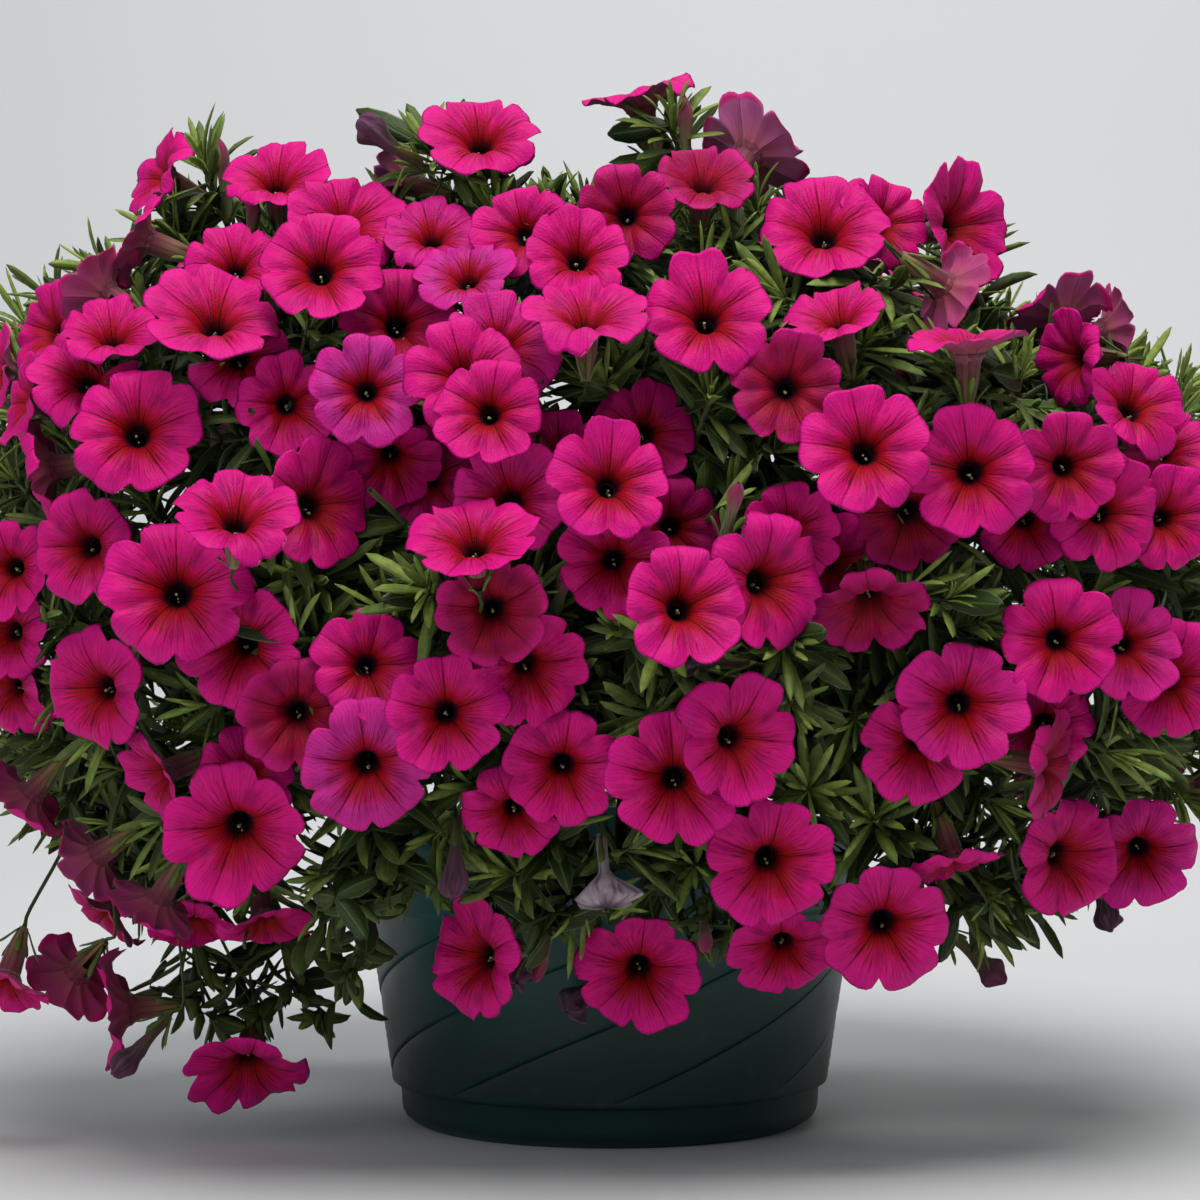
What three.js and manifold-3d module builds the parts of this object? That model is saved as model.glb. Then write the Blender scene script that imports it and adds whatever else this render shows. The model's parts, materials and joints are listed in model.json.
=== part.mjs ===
// Potted petchoa: a bushy, trailing plant in full flower, in a fluted plastic pot.
// Millimetres, +Z up. The origin is the centre of the pot's foot, on the surface it stands on.
// The plant's front faces -Y.

import * as THREE from 'three';
import { mergeVertices } from 'three/addons/utils/BufferGeometryUtils.js';
import Module from 'manifold-3d';

const wasm = await Module();
wasm.setup();

// Pot
const POT_HEIGHT = 150;
const POT_FOOT_RADIUS = 98;
const POT_BAND_RADIUS = 106.5;
const POT_BAND_BOTTOM = 9;
const POT_BAND_TOP = 20.5;
const POT_SHOULDER_RADIUS = 111.5;
const POT_FLUTE_TOP = 112;
const POT_TAPER = 0.147;
const POT_RIM_BAND = 1.6;
const POT_LIP = 2.2;
const POT_WALL = 2.4;
const POT_FLOOR = 2.2;
const FLUTES = 8;
const FLUTE_DEPTH = 1.3;
const POT_COLUMNS = FLUTES * 4;
const DRAIN_HOLES = 4;
const DRAIN_RADIUS = 6;
const DRAIN_CIRCLE = 62;

// Soil
const SOIL_TOP = 137;
const SOIL_GAP = 0.35;
const STEM_SEAT = 15;

// Plant outline: a boxy dome, a little lower on its right
const DOME_CENTRE = 300;
const DOME_TOP = 532;
const DOME_BOTTOM = 60;
const DOME_LEFT = 340;
const DOME_RIGHT = 335;
const DOME_DEPTH = 300;
const DOME_POWER = 2.5;
const DOME_SLOPE = 0.2;
const DOME_SLOPE_START = 50;
const LAYER = 12;

// Bloom proportions
const MOUTH = 0.19;
const TUBE_SHOULDER = 9;
const TUBE_RADIUS = 6.6;
const TUBE_LENGTH = 30;
const CALYX_RADIUS = 2.3;
const STALK_RADIUS = 1.2;
const MIN_BLOOM = 24;
const MAX_BLOOM = 35;

// Stems
const STEMS = 12;
const SPRAYS = 44;
const STEM_RADIUS = 3.6;
const SHOOT_RADIUS = 2.1;
const SHOOT_TIP_RADIUS = 1.5;
const SEAM = 0.3;
const CLEARANCE = 0.4;

// The front view that the blooms were read in: its eye point, its tilt, its scale and its middle
const EYE = new THREE.Vector3(-5.1, -2300, 350);
const EYE_TILT = THREE.MathUtils.degToRad(2.08);
const VIEW_SCALE = 4501;
const VIEW_MIDDLE = 600;

// Blooms in the front view: x, y and radius in the view, then yaw and pitch of the face in degrees,
// and how many layers it stands out towards the front
const BLOOMS_UPPER_LEFT = [
  [480, 138, 62, 0, 46, 0], [276, 181, 55, 0, 50, 0], [160, 175, 45, -68, 28, 0],
  [345, 222, 62, 15, 40, -1], [320, 268, 65, 0, 22, 1], [214, 318, 72, 0, 48, 1],
  [398, 324, 60, 10, 15, -1], [366, 390, 58, 0, 8, 0], [136, 430, 69, 0, 20, 1],
  [236, 516, 66, 8, 48, 1], [316, 505, 68, 35, 5, -1], [85, 547, 58, -22, 0, 0.5],
  [176, 592, 76, 0, 10, 1], [240, 645, 68, -15, -5, 0], [98, 690, 64, -35, -5, 0],
  [488, 411, 58, -5, 15, 1], [465, 375, 60, 0, 25, 0], [502, 344, 62, 15, 30, -1],
  [466, 276, 52, -15, 45, 0], [522, 232, 40, -15, 20, -1], [577, 256, 55, 0, 30, 0],
  [586, 318, 66, 0, 62, 1], [432, 235, 45, 0, 50, -2], [395, 180, 42, -110, 15, -2],
  [28, 400, 50, -65, 15, 0], [4, 372, 45, -70, 10, -1], [85, 377, 58, -10, 35, 0],
  [112, 335, 55, 0, 55, 0], [50, 330, 45, -50, 20, -1], [100, 290, 50, -110, 30, -2],
  [140, 238, 50, -95, 20, -1], [45, 470, 55, -100, -10, -1], [10, 568, 45, -20, 0, 0],
  [238, 356, 55, 0, 15, -1], [235, 265, 45, 0, 40, -2], [288, 405, 45, 10, 0, -2],
  [392, 460, 40, 10, -30, -2], [428, 478, 50, 0, 0, -2.6], [510, 499, 62, -5, 10, 0],
  [474, 540, 68, -5, 50, 1], [560, 460, 45, 0, 0, -2],
];
const BLOOMS_UPPER_RIGHT = [
  [640, 100, 57, -110, 75, 0], [752, 150, 58, 145, 35, -1], [704, 182, 46, 10, 55, 0],
  [626, 214, 44, -5, 10, 0], [824, 230, 70, 0, 38, 1], [882, 222, 40, 30, 20, -1],
  [706, 316, 66, 0, 25, 1], [958, 225, 70, 50, 10, 0], [950, 290, 40, 120, -30, -1],
  [1060, 312, 48, -150, 40, -1], [1110, 332, 45, 105, 5, -1], [968, 342, 64, 0, 82, 0],
  [1072, 358, 42, -60, 0, -1], [1134, 405, 58, 25, 35, 0], [1165, 447, 55, 15, 30, -1],
  [838, 318, 42, -25, 60, -1], [786, 388, 58, 0, 5, 0], [865, 449, 68, 0, 15, 1],
  [971, 471, 68, 0, 5, 1.5], [1067, 466, 58, 12, 0, 1], [1105, 512, 60, 20, 5, 0],
  [1168, 518, 56, 25, 0, 1], [908, 514, 60, 0, -15, -1], [1025, 522, 50, 0, -10, -2],
  [610, 482, 63, 8, 20, 1], [614, 560, 60, 0, 0, 0], [683, 606, 66, 15, 15, 1],
  [766, 582, 70, 32, 0, 0.5], [790, 532, 50, 10, 0, -1], [830, 562, 45, 10, -10, -2],
  [645, 432, 50, 10, 10, -2], [672, 528, 42, 10, 0, -2],
];
const BLOOMS_LOWER_LEFT = [
  [492, 610, 58, 0, -5, 0.5], [530, 668, 62, 20, -15, -0.5], [446, 713, 62, 0, 0, 0.5],
  [367, 665, 58, 5, 5, -0.5], [297, 714, 60, 0, -5, 0], [366, 767, 69, 0, -12, 1],
  [238, 830, 74, 0, -15, 1], [562, 767, 62, 0, -8, 0.5], [512, 812, 52, -5, -20, -1],
  [478, 958, 66, -45, 0, 0], [247, 1068, 64, 0, -48, 0], [72, 978, 48, -130, -40, -1],
  [120, 1010, 60, -85, -5, 0], [5, 985, 45, -30, -60, -1], [25, 800, 52, -110, -45, -1],
  [92, 858, 50, -120, -30, -2], [155, 905, 48, -120, -55, -1], [195, 925, 45, 0, -60, -3],
  [265, 925, 50, 20, -60, -3], [160, 775, 45, -60, -20, -1], [245, 775, 50, 0, 0, -2],
  [8, 632, 48, -30, 0, -1], [10, 688, 42, -40, -10, -2], [105, 915, 42, -60, -50, -2],
];
const BLOOMS_LOWER_RIGHT = [
  [674, 779, 70, 0, 0, 1], [737, 739, 67, 30, -5, 1], [771, 862, 69, 12, -10, 1],
  [884, 926, 69, 4, -10, 1], [783, 948, 56, 0, -25, -0.5], [638, 972, 66, -3, -15, 0],
  [960, 704, 68, 0, -2, 1], [918, 745, 62, -5, -15, -0.5], [870, 605, 62, 5, -50, 0],
  [1060, 640, 64, 5, 0, 1], [1128, 645, 58, 20, 0, -0.5], [1172, 680, 62, 15, -5, 0.5],
  [1050, 765, 58, 70, -5, -1], [1045, 725, 45, 0, -10, -2], [1066, 857, 66, 38, -8, 0],
  [1141, 852, 58, 5, -15, 0.5], [955, 865, 48, 60, -70, -1],
];
const FRONT_BLOOMS = [
  ...BLOOMS_UPPER_LEFT, ...BLOOMS_UPPER_RIGHT, ...BLOOMS_LOWER_LEFT, ...BLOOMS_LOWER_RIGHT,
];

// Withered blooms in the view: x and y of the crumpled mouth, yaw and pitch of the way it points,
// its radius and how far its tip stands out beyond it, in millimetres
const WITHERED = [
  [372, 130, -70, 35, 6, 7], [455, 882, 0, -70, 6, 7], [606, 898, 12, -68, 13, 4], [517, 975, 0, -25, 6, 5],
  [572, 1005, -60, -40, 9, 4], [992, 970, 70, -38, 5.5, 8], [126, 1062, -70, -45, 6, 8],
  [1108, 918, 20, -60, 6, 6], [686, 660, -70, 3, 6.5, 7], [1178, 427, 70, 15, 6, 7],
];
// Buds that haven't opened, set out in the same way
const BUDS = [
  [222, 160, -10, 70, 3.4, 9], [253, 215, 10, 50, 3.4, 9], [685, 118, -10, 75, 3.6, 10],
  [735, 497, 10, 40, 3.6, 9], [705, 940, 0, -30, 3.4, 9], [540, 965, -20, -50, 3.4, 9],
  [565, 580, 10, 30, 3.4, 9],
];

// Rosettes of leaves seen between the blooms: x and y in the view, their number of leaves
const ROSETTES = [
  [205, 165, 5], [430, 150, 5], [672, 125, 6], [880, 270, 8], [250, 410, 7], [270, 525, 5],
  [370, 490, 5], [538, 436, 6], [715, 510, 8], [430, 590, 7], [295, 640, 5], [660, 640, 8],
  [1020, 380, 6], [710, 400, 6], [40, 620, 6], [385, 890, 6], [195, 985, 7], [290, 985, 6],
  [550, 930, 6], [705, 945, 6], [950, 900, 7], [785, 640, 6], [945, 600, 6], [1108, 752, 5],
];

// A repeatable draw between 0 and 1 for one repeat and one purpose
function draw(repeat, purpose) {
  let h = Math.imul((repeat + 1) ^ 0x9e3779b9, 0x85ebca6b) ^ Math.imul(purpose + 7, 0xc2b2ae35);
  h ^= h >>> 15;
  h = Math.imul(h, 0x2c1b3c6d);
  h ^= h >>> 12;
  h = Math.imul(h, 0x297a2d39);
  h ^= h >>> 15;
  return (h >>> 0) / 4294967296;
}

function spread(repeat, purpose, low, high) {
  return low + (high - low) * draw(repeat, purpose);
}

const UP = new THREE.Vector3(0, 0, 1);

function towards(from, to) {
  return to.clone().sub(from).normalize();
}

function along(origin, direction, distance) {
  return origin.clone().addScaledVector(direction, distance);
}

// Facing of a bloom: yaw 0 looks to the front, pitch 90 looks up
function facing(yaw, pitch) {
  const turn = THREE.MathUtils.degToRad(yaw);
  const lift = THREE.MathUtils.degToRad(pitch);
  return new THREE.Vector3(
    Math.sin(turn) * Math.cos(lift), -Math.cos(turn) * Math.cos(lift), Math.sin(lift));
}

const NEARLY_UPRIGHT = 0.05;

// Two directions square to an axis, the first as level as it can be
function across(axis) {
  const flat = new THREE.Vector3(axis.y, -axis.x, 0);
  if (flat.length() < NEARLY_UPRIGHT) {
    flat.set(1, 0, 0);
  }
  const side = flat.addScaledVector(axis, -flat.dot(axis)).normalize();
  const over = new THREE.Vector3().crossVectors(side, axis).normalize();
  return [side, over];
}

// Below 1 inside the plant's outline, above 1 outside it
function domeLevel(p) {
  const width = p.x < 0 ? DOME_LEFT : DOME_RIGHT;
  const slope = DOME_SLOPE * Math.max(0, p.x - DOME_SLOPE_START);
  const rise = p.z > DOME_CENTRE ? (p.z - DOME_CENTRE) / (DOME_TOP - DOME_CENTRE - slope)
    : (DOME_CENTRE - p.z) / (DOME_CENTRE - DOME_BOTTOM);
  return Math.abs(p.x / width) ** DOME_POWER + Math.abs(p.y / DOME_DEPTH) ** DOME_POWER
    + Math.abs(rise) ** DOME_POWER;
}

const BEYOND_DOME = 700;
const HALVINGS = 24;

// The outline's point in a direction from the dome's centre
function domePoint(direction) {
  const centre = new THREE.Vector3(0, 0, DOME_CENTRE);
  let near = 0;
  let far = BEYOND_DOME;
  for (let i = 0; i < HALVINGS; i++) {
    const middle = (near + far) / 2;
    if (domeLevel(along(centre, direction, middle)) < 1) {
      near = middle;
    } else {
      far = middle;
    }
  }
  return along(centre, direction, near);
}

function domeNormal(p) {
  const h = 0.5;
  const slope = (axis) => domeLevel(along(p, axis, h)) - domeLevel(along(p, axis, -h));
  return new THREE.Vector3(
    slope(new THREE.Vector3(1, 0, 0)), slope(new THREE.Vector3(0, 1, 0)), slope(UP)).normalize();
}

// Direction of sight through a point of the front view
function sight(x, y) {
  const side = (x - VIEW_MIDDLE) / VIEW_SCALE;
  const drop = (y - VIEW_MIDDLE) / VIEW_SCALE;
  const c = Math.cos(EYE_TILT);
  const s = Math.sin(EYE_TILT);
  return new THREE.Vector3(side, c - drop * s, -s - drop * c);
}

// Where a line of sight meets the outline, or passes nearest to it
const SIGHT_START = 1900;
const SIGHT_END = 2400;
const SIGHT_STEP = 4;
function seenPoint(x, y) {
  const ray = sight(x, y);
  let best = null;
  let lowest = Infinity;
  for (let depth = SIGHT_START; depth < SIGHT_END; depth += SIGHT_STEP) {
    const p = along(EYE, ray, depth);
    const level = domeLevel(p);
    if (level < lowest) {
      lowest = level;
      best = p;
    }
    if (level < 1) {
      break;
    }
  }
  return best;
}

function frontBloom([x, y, r, yaw, pitch, layer]) {
  const seen = seenPoint(x, y);
  const view = towards(seen, EYE);
  const centre = along(seen, view, layer * LAYER);
  const radius = r * (centre.y - EYE.y) / VIEW_SCALE;
  return {
    centre,
    normal: facing(yaw, pitch),
    radius: THREE.MathUtils.clamp(radius, MIN_BLOOM, MAX_BLOOM),
    view,
    front: true,
  };
}

// Blooms on the sides and back, set out on a spiral over the outline, wherever there is room
const SPIRAL_POINTS = 420;
const SPIRAL_DROP = 1.72;
const BACK_RADIUS = [28, 33];
const BACK_DEPTH = [-16, -2];
const BACK_LEAN = 0.3;
const BACK_LIFT = 0.5;
const GOLDEN_TURN = Math.PI * (3 - Math.sqrt(5));
const BACK_SPACING = 88;
const VIEW_EDGE = 8;
const LOWEST_BACK = 165;
const SEEN_FACING = -0.05;
// Skyline of the plant from the front: x, and the height that the blooms at the back keep under
const SKYLINE = [[-400, 340], [-245, 424], [-210, 446], [150, 444], [200, 385], [265, 370], [400, 280]];
const BACK_SLOPE = 0.15;
function backTop(p) {
  const k = SKYLINE.findIndex(([x]) => x > p.x);
  const [left, low] = SKYLINE[k - 1];
  const [right, high] = SKYLINE[k];
  return THREE.MathUtils.mapLinear(p.x, left, right, low, high) - BACK_SLOPE * Math.max(0, p.y);
}

function backBlooms(placed) {
  const found = [];
  for (let i = 0; i < SPIRAL_POINTS; i++) {
    const height = 1 - SPIRAL_DROP * (i + 0.5) / SPIRAL_POINTS;
    const flat = Math.sqrt(1 - height * height);
    const turn = i * GOLDEN_TURN;
    const direction = new THREE.Vector3(flat * Math.cos(turn), flat * Math.sin(turn), height);
    const p = domePoint(direction);
    const normal = domeNormal(p);
    const view = towards(p, EYE);
    const x = VIEW_MIDDLE + VIEW_SCALE * (p.x - EYE.x) / (p.y - EYE.y);
    const inView = x > VIEW_EDGE && x < 2 * VIEW_MIDDLE - VIEW_EDGE;
    if (p.z < LOWEST_BACK || (inView && normal.dot(view) > SEEN_FACING)) {
      continue;
    }
    const radius = spread(i, 1, ...BACK_RADIUS);
    const centre = along(p, normal, spread(i, 2, ...BACK_DEPTH));
    centre.z = Math.min(centre.z, backTop(centre));
    const clear = [...placed, ...found].every((b) => b.centre.distanceTo(centre) > BACK_SPACING);
    if (clear) {
      const lean = new THREE.Vector3(
        spread(i, 3, -BACK_LEAN, BACK_LEAN), spread(i, 4, -BACK_LEAN, BACK_LEAN), spread(i, 5, 0, BACK_LIFT));
      found.push({
        centre,
        normal: normal.clone().add(lean).normalize(),
        radius,
        view: normal,
        front: false,
      });
    }
  }
  return found;
}

// The flared face of a bloom rises from its mouth to its rim
function flare(bloom, distance) {
  const t = (distance - MOUTH * bloom.radius) / (bloom.radius * (1 - MOUTH));
  return bloom.cup * bloom.radius * Math.max(0, t);
}

const FACE_POINTS = 15;
const INNER_REACH = 0.55;
function facePoints(bloom) {
  const [side, over] = across(bloom.normal);
  const points = [bloom.centre.clone()];
  for (let i = 0; i < FACE_POINTS; i++) {
    const reach = (i % 3 === 0 ? INNER_REACH : 1) * bloom.radius;
    const angle = i * 2 * Math.PI / FACE_POINTS;
    const p = along(bloom.centre, side, reach * Math.cos(angle));
    p.addScaledVector(over, reach * Math.sin(angle));
    points.push(p.addScaledVector(bloom.normal, flare(bloom, reach)));
  }
  return points;
}

// How far one face has to move along a direction, so that it lies wholly before the other
function needed(points, bloom, direction, sign) {
  const tilt = bloom.normal.dot(direction);
  if (Math.abs(tilt) < EDGE_ON) {
    return 0;
  }
  let most = 0;
  for (const p of points) {
    const q = p.clone().sub(bloom.centre);
    const a = q.dot(bloom.normal);
    const distance = q.addScaledVector(bloom.normal, -a).length();
    if (distance < bloom.radius + 1) {
      const gap = (a - flare(bloom, distance)) * Math.sign(tilt) * sign;
      most = Math.max(most, (FACE_GAP - gap) / Math.abs(tilt));
    }
  }
  return most;
}

// Neighbouring faces settle one before the other instead of crossing
const FACE_GAP = 2.2;
const EDGE_ON = 0.3;
const PUSH_SHARE = 0.35;
const PAIR_REACH = 24;
const SETTLE_ROUNDS = 30;
const SETTLE_STEP = 5;
const SETTLE_REACH = 24;
const POT_GUARD = 172;
function settle(blooms) {
  const start = blooms.map((b) => b.centre.clone());
  const pairs = [];
  blooms.forEach((a, i) => {
    for (let j = i + 1; j < blooms.length; j++) {
      const b = blooms[j];
      if (a.centre.distanceTo(b.centre) < a.radius + b.radius + PAIR_REACH) {
        const view = a.view.clone().add(b.view).normalize();
        const ahead = a.centre.clone().sub(b.centre).dot(view) > 0;
        pairs.push({ front: ahead ? i : j, back: ahead ? j : i, view });
      }
    }
  });
  for (let round = 0; round < SETTLE_ROUNDS; round++) {
    const points = blooms.map(facePoints);
    const moves = blooms.map(() => new THREE.Vector3());
    for (const { front, back, view } of pairs) {
      const f = blooms[front];
      const b = blooms[back];
      const push = Math.min(SETTLE_STEP, Math.max(
        needed(points[front], b, view, 1), needed(points[back], f, view, -1)));
      moves[front].addScaledVector(view, push * PUSH_SHARE);
      moves[back].addScaledVector(view, -push * PUSH_SHARE);
    }
    blooms.forEach((bloom, i) => {
      const view = bloom.view;
      const shift = bloom.centre.clone().sub(start[i]).dot(view) + moves[i].dot(view);
      bloom.centre = along(start[i], view, THREE.MathUtils.clamp(shift, -SETTLE_REACH, SETTLE_REACH));
      const room = Math.hypot(bloom.centre.x, bloom.centre.y) - POT_GUARD;
      if (bloom.centre.z < POT_HEIGHT + bloom.radius && room < 0) {
        bloom.centre.addScaledVector(view, -room);
      }
    });
  }
}

const CUP = [0.1, 0.22];
function makeBlooms() {
  const front = FRONT_BLOOMS.map(frontBloom);
  const blooms = [...front, ...backBlooms(front)];
  blooms.forEach((bloom, i) => {
    bloom.cup = spread(i, 11, ...CUP);
    bloom.spin = spread(i, 12, 0, 1);
    bloom.index = i;
    bloom.tube = TUBE_RADIUS;
  });
  settle(blooms);
  return blooms;
}

// Place of a point in the plant's round plan: 0 is the crown of the dome, 1 its lowest skirt
const SKIRT_ANGLE = THREE.MathUtils.degToRad(125);
const PLAN_EDGE = 1.05;
function planPlace(p) {
  const flat = Math.hypot(p.x, p.y);
  const reach = Math.min(PLAN_EDGE, Math.atan2(flat, p.z - DOME_CENTRE) / SKIRT_ANGLE);
  return { u: reach * p.x / flat, v: reach * p.y / flat };
}

// A growth line leaves the soil, arches over the rim and ends on the outline.
// Lines with different places in the plan never cross.
const CROWN_RADIUS = 84;
const ARCH_REACH = 160;
const ARCH_TOP = 335;
const ARCH_FALL = 80;
function growthPoint(place, t) {
  const reach = Math.hypot(place.u, place.v);
  const angle = reach * SKIRT_ANGLE;
  const turn = Math.atan2(place.v, place.u);
  const direction = new THREE.Vector3(
    Math.sin(angle) * Math.cos(turn), Math.sin(angle) * Math.sin(turn), Math.cos(angle));
  const low = new THREE.Vector3(place.u * CROWN_RADIUS, place.v * CROWN_RADIUS, SOIL_TOP);
  const bend = new THREE.Vector3(
    place.u * ARCH_REACH, place.v * ARCH_REACH, ARCH_TOP - ARCH_FALL * reach);
  const end = domePoint(direction);
  return low.multiplyScalar((1 - t) ** 2)
    .addScaledVector(bend, 2 * t * (1 - t))
    .addScaledVector(end, t ** 2);
}

function between(a, b, t) {
  return { u: a.u + (b.u - a.u) * t, v: a.v + (b.v - a.v) * t };
}

function middlePlace(items) {
  const mean = (key) => items.reduce((sum, { place }) => sum + place[key], 0) / items.length;
  return { u: mean('u'), v: mean('v') };
}

// Neighbours in the plan are parted into even groups, always across the longer side
function partInto(items, groups) {
  if (groups === 1) {
    return [items];
  }
  const span = (key) => {
    const values = items.map(({ place }) => place[key]);
    return Math.max(...values) - Math.min(...values);
  };
  const key = span('u') > span('v') ? 'u' : 'v';
  const sorted = [...items].sort((a, b) => a.place[key] - b.place[key]);
  const first = Math.floor(groups / 2);
  const cut = Math.round(sorted.length * first / groups);
  return [...partInto(sorted.slice(0, cut), first), ...partInto(sorted.slice(cut), groups - first)];
}

// Closed solid through a row of rings; a ring of one point is a tip.
// A ring with uneven points carries the turn of each, so that its neighbours meet it squarely.
function ringSolid(rings) {
  const vertices = [];
  const starts = rings.map((ring) => {
    const start = vertices.length / 3;
    ring.forEach((p) => vertices.push(p.x, p.y, p.z));
    return start;
  });
  const turnOf = (ring, i) => {
    const n = ring.length;
    const turn = ring.turns ? ring.turns[i % n] : (i % n) / n;
    return turn + Math.floor(i / n);
  };
  const triangles = [];
  for (let k = 0; k + 1 < rings.length; k++) {
    const [low, high] = [rings[k], rings[k + 1]];
    const m = low.length;
    const n = high.length;
    let i = 0;
    let j = 0;
    while (i < (m > 1 ? m : 0) || j < (n > 1 ? n : 0)) {
      const a = starts[k] + i % m;
      const b = starts[k + 1] + j % n;
      const lowDone = m === 1 || i >= m;
      const highDone = n === 1 || j >= n;
      if (highDone || (!lowDone && turnOf(low, i + 1) <= turnOf(high, j + 1))) {
        triangles.push(a, starts[k] + (i + 1) % m, b);
        i++;
      } else {
        triangles.push(a, starts[k + 1] + (j + 1) % n, b);
        j++;
      }
    }
  }
  const cap = (start, count, flip) => {
    for (let i = 1; i + 1 < count; i++) {
      triangles.push(start, start + (flip ? i + 1 : i), start + (flip ? i : i + 1));
    }
  };
  cap(starts[0], rings[0].length, true);
  cap(starts[rings.length - 1], rings[rings.length - 1].length, false);
  return solidFrom(vertices, triangles);
}

function solidFrom(vertices, triangles) {
  let mesh = new wasm.Mesh({
    numProp: 3,
    vertProperties: Float32Array.from(vertices),
    triVerts: Uint32Array.from(triangles),
  });
  let solid = new wasm.Manifold(mesh);
  if (solid.volume() < 0) {
    const turned = [];
    for (let i = 0; i < triangles.length; i += 3) {
      turned.push(triangles[i], triangles[i + 2], triangles[i + 1]);
    }
    mesh = new wasm.Mesh({
      numProp: 3,
      vertProperties: Float32Array.from(vertices),
      triVerts: Uint32Array.from(turned),
    });
    solid = new wasm.Manifold(mesh);
  }
  return solid;
}

function ring(centre, side, over, radius, count, spin = 0) {
  const points = [];
  for (let i = 0; i < count; i++) {
    const angle = (spin + i / count) * 2 * Math.PI;
    const p = along(centre, side, radius * Math.cos(angle));
    points.push(p.addScaledVector(over, radius * Math.sin(angle)));
  }
  return points;
}

// A rod through points, its radius going evenly from the first value to the last
function rod(points, startRadius, endRadius, sides) {
  const rings = points.map((p, i) => {
    const before = points[Math.max(0, i - 1)];
    const after = points[Math.min(points.length - 1, i + 1)];
    const [side, over] = across(towards(before, after));
    const t = i / (points.length - 1);
    return ring(p, side, over, startRadius + (endRadius - startRadius) * t, sides);
  });
  return ringSolid(rings);
}

// A knot where stalks meet: a small many-sided lump, and each stalk grows out of one of its faces
function knotFaces(shape, centre, heading, spin) {
  const geometry = shape.clone();
  const turn = new THREE.Quaternion().setFromAxisAngle(heading, spin);
  const first = new THREE.Vector3(1, 1, 1).normalize();
  const place = new THREE.Quaternion().setFromUnitVectors(first, heading).premultiply(turn);
  const positions = geometry.attributes.position;
  const faces = [];
  for (let i = 0; i < positions.count; i += 3) {
    const points = [0, 1, 2].map((k) => {
      const p = new THREE.Vector3().fromBufferAttribute(positions, i + k).applyQuaternion(place);
      return p.add(centre);
    });
    const middle = points[0].clone().add(points[1]).add(points[2]).divideScalar(3);
    faces.push({ points, normal: towards(centre, middle), middle });
  }
  return faces;
}

function knotSolid(faces) {
  const vertices = faces.flatMap(({ points }) => points.flatMap((p) => [p.x, p.y, p.z]));
  const geometry = new THREE.BufferGeometry();
  geometry.setAttribute('position', new THREE.BufferAttribute(Float32Array.from(vertices), 3));
  const merged = mergeVertices(geometry, MERGE);
  return solidFrom(merged.attributes.position.array, merged.index.array);
}

// Each stalk takes the free face that looks most nearly its way
function takeFaces(faces, headings) {
  const pairs = [];
  headings.forEach((heading, arm) => faces.forEach((face, index) => {
    pairs.push({ arm, index, match: heading.dot(face.normal) });
  }));
  pairs.sort((a, b) => b.match - a.match);
  const taken = new Map();
  const used = new Set();
  let worst = 1;
  for (const { arm, index, match } of pairs) {
    if (!taken.has(arm) && !used.has(index)) {
      taken.set(arm, faces[index]);
      used.add(index);
      worst = Math.min(worst, match);
    }
  }
  return { taken: headings.map((_, arm) => taken.get(arm)), worst };
}

const KNOT_SPINS = 12;
function bestKnot(shape, centre, heading, headings) {
  let best = null;
  for (let i = 0; i < KNOT_SPINS; i++) {
    const faces = knotFaces(shape, centre, heading, i * 2 * Math.PI / KNOT_SPINS / 3);
    const choice = takeFaces(faces, headings);
    if (!best || choice.worst > best.worst) {
      best = { faces, ...choice };
    }
  }
  return best;
}

// A point inside the knot, behind the middle of a face
const SINK = 1.2;
function sunk(face) {
  return along(face.middle, face.normal, -SINK);
}

// A face's corners in the order that lies nearest to the ring they meet
function alignedFace(points, next) {
  const turned = [0, 1, 2].map((k) => [points[k], points[(k + 1) % 3], points[(k + 2) % 3]]);
  const misfit = (corners) => corners.reduce((sum, p, i) => sum + p.distanceToSquared(next[i]), 0);
  return turned.sort((a, b) => misfit(a) - misfit(b))[0];
}

// One bloom: a deep mouth, a flared face of five lobes with a waved rim, and a tube to its calyx
const PIT_DEPTH = 12;
const LOBES = 5;
const SHOULDER_TURN = 0.3;
const NOTCH = 0.86;
const LOBE_REACH = [0.94, 1.02];
const WAVE = 0.07;
function bloomPoint(bloom, reach, turn, height) {
  const [side, over] = across(bloom.normal);
  const angle = (turn + bloom.spin) * 2 * Math.PI;
  const p = along(bloom.centre, side, reach * Math.cos(angle));
  return p.addScaledVector(over, reach * Math.sin(angle)).addScaledVector(bloom.normal, height);
}

function bloomRing(bloom, reach, height, count) {
  return Array.from({ length: count }, (_, i) => bloomPoint(bloom, reach, i / count, height));
}

function bloomRim(bloom, grow = 0) {
  const { radius, cup, index } = bloom;
  const rim = [];
  for (let lobe = 0; lobe < LOBES; lobe++) {
    const height = (step) => radius * (cup + spread(index, 20 + lobe * 3 + step, -WAVE, WAVE));
    rim.push(bloomPoint(bloom, NOTCH * radius + grow, lobe / LOBES, height(0)));
    if (bloom.front) {
      const reach = radius * spread(index, 40 + lobe, ...LOBE_REACH) + grow;
      rim.push(bloomPoint(bloom, reach, (lobe + SHOULDER_TURN) / LOBES, height(1)));
      rim.push(bloomPoint(bloom, reach, (lobe + 1 - SHOULDER_TURN) / LOBES, height(2)));
    } else {
      rim.push(bloomPoint(bloom, radius + grow, (lobe + 0.5) / LOBES, height(1)));
    }
  }
  return rim;
}

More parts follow.
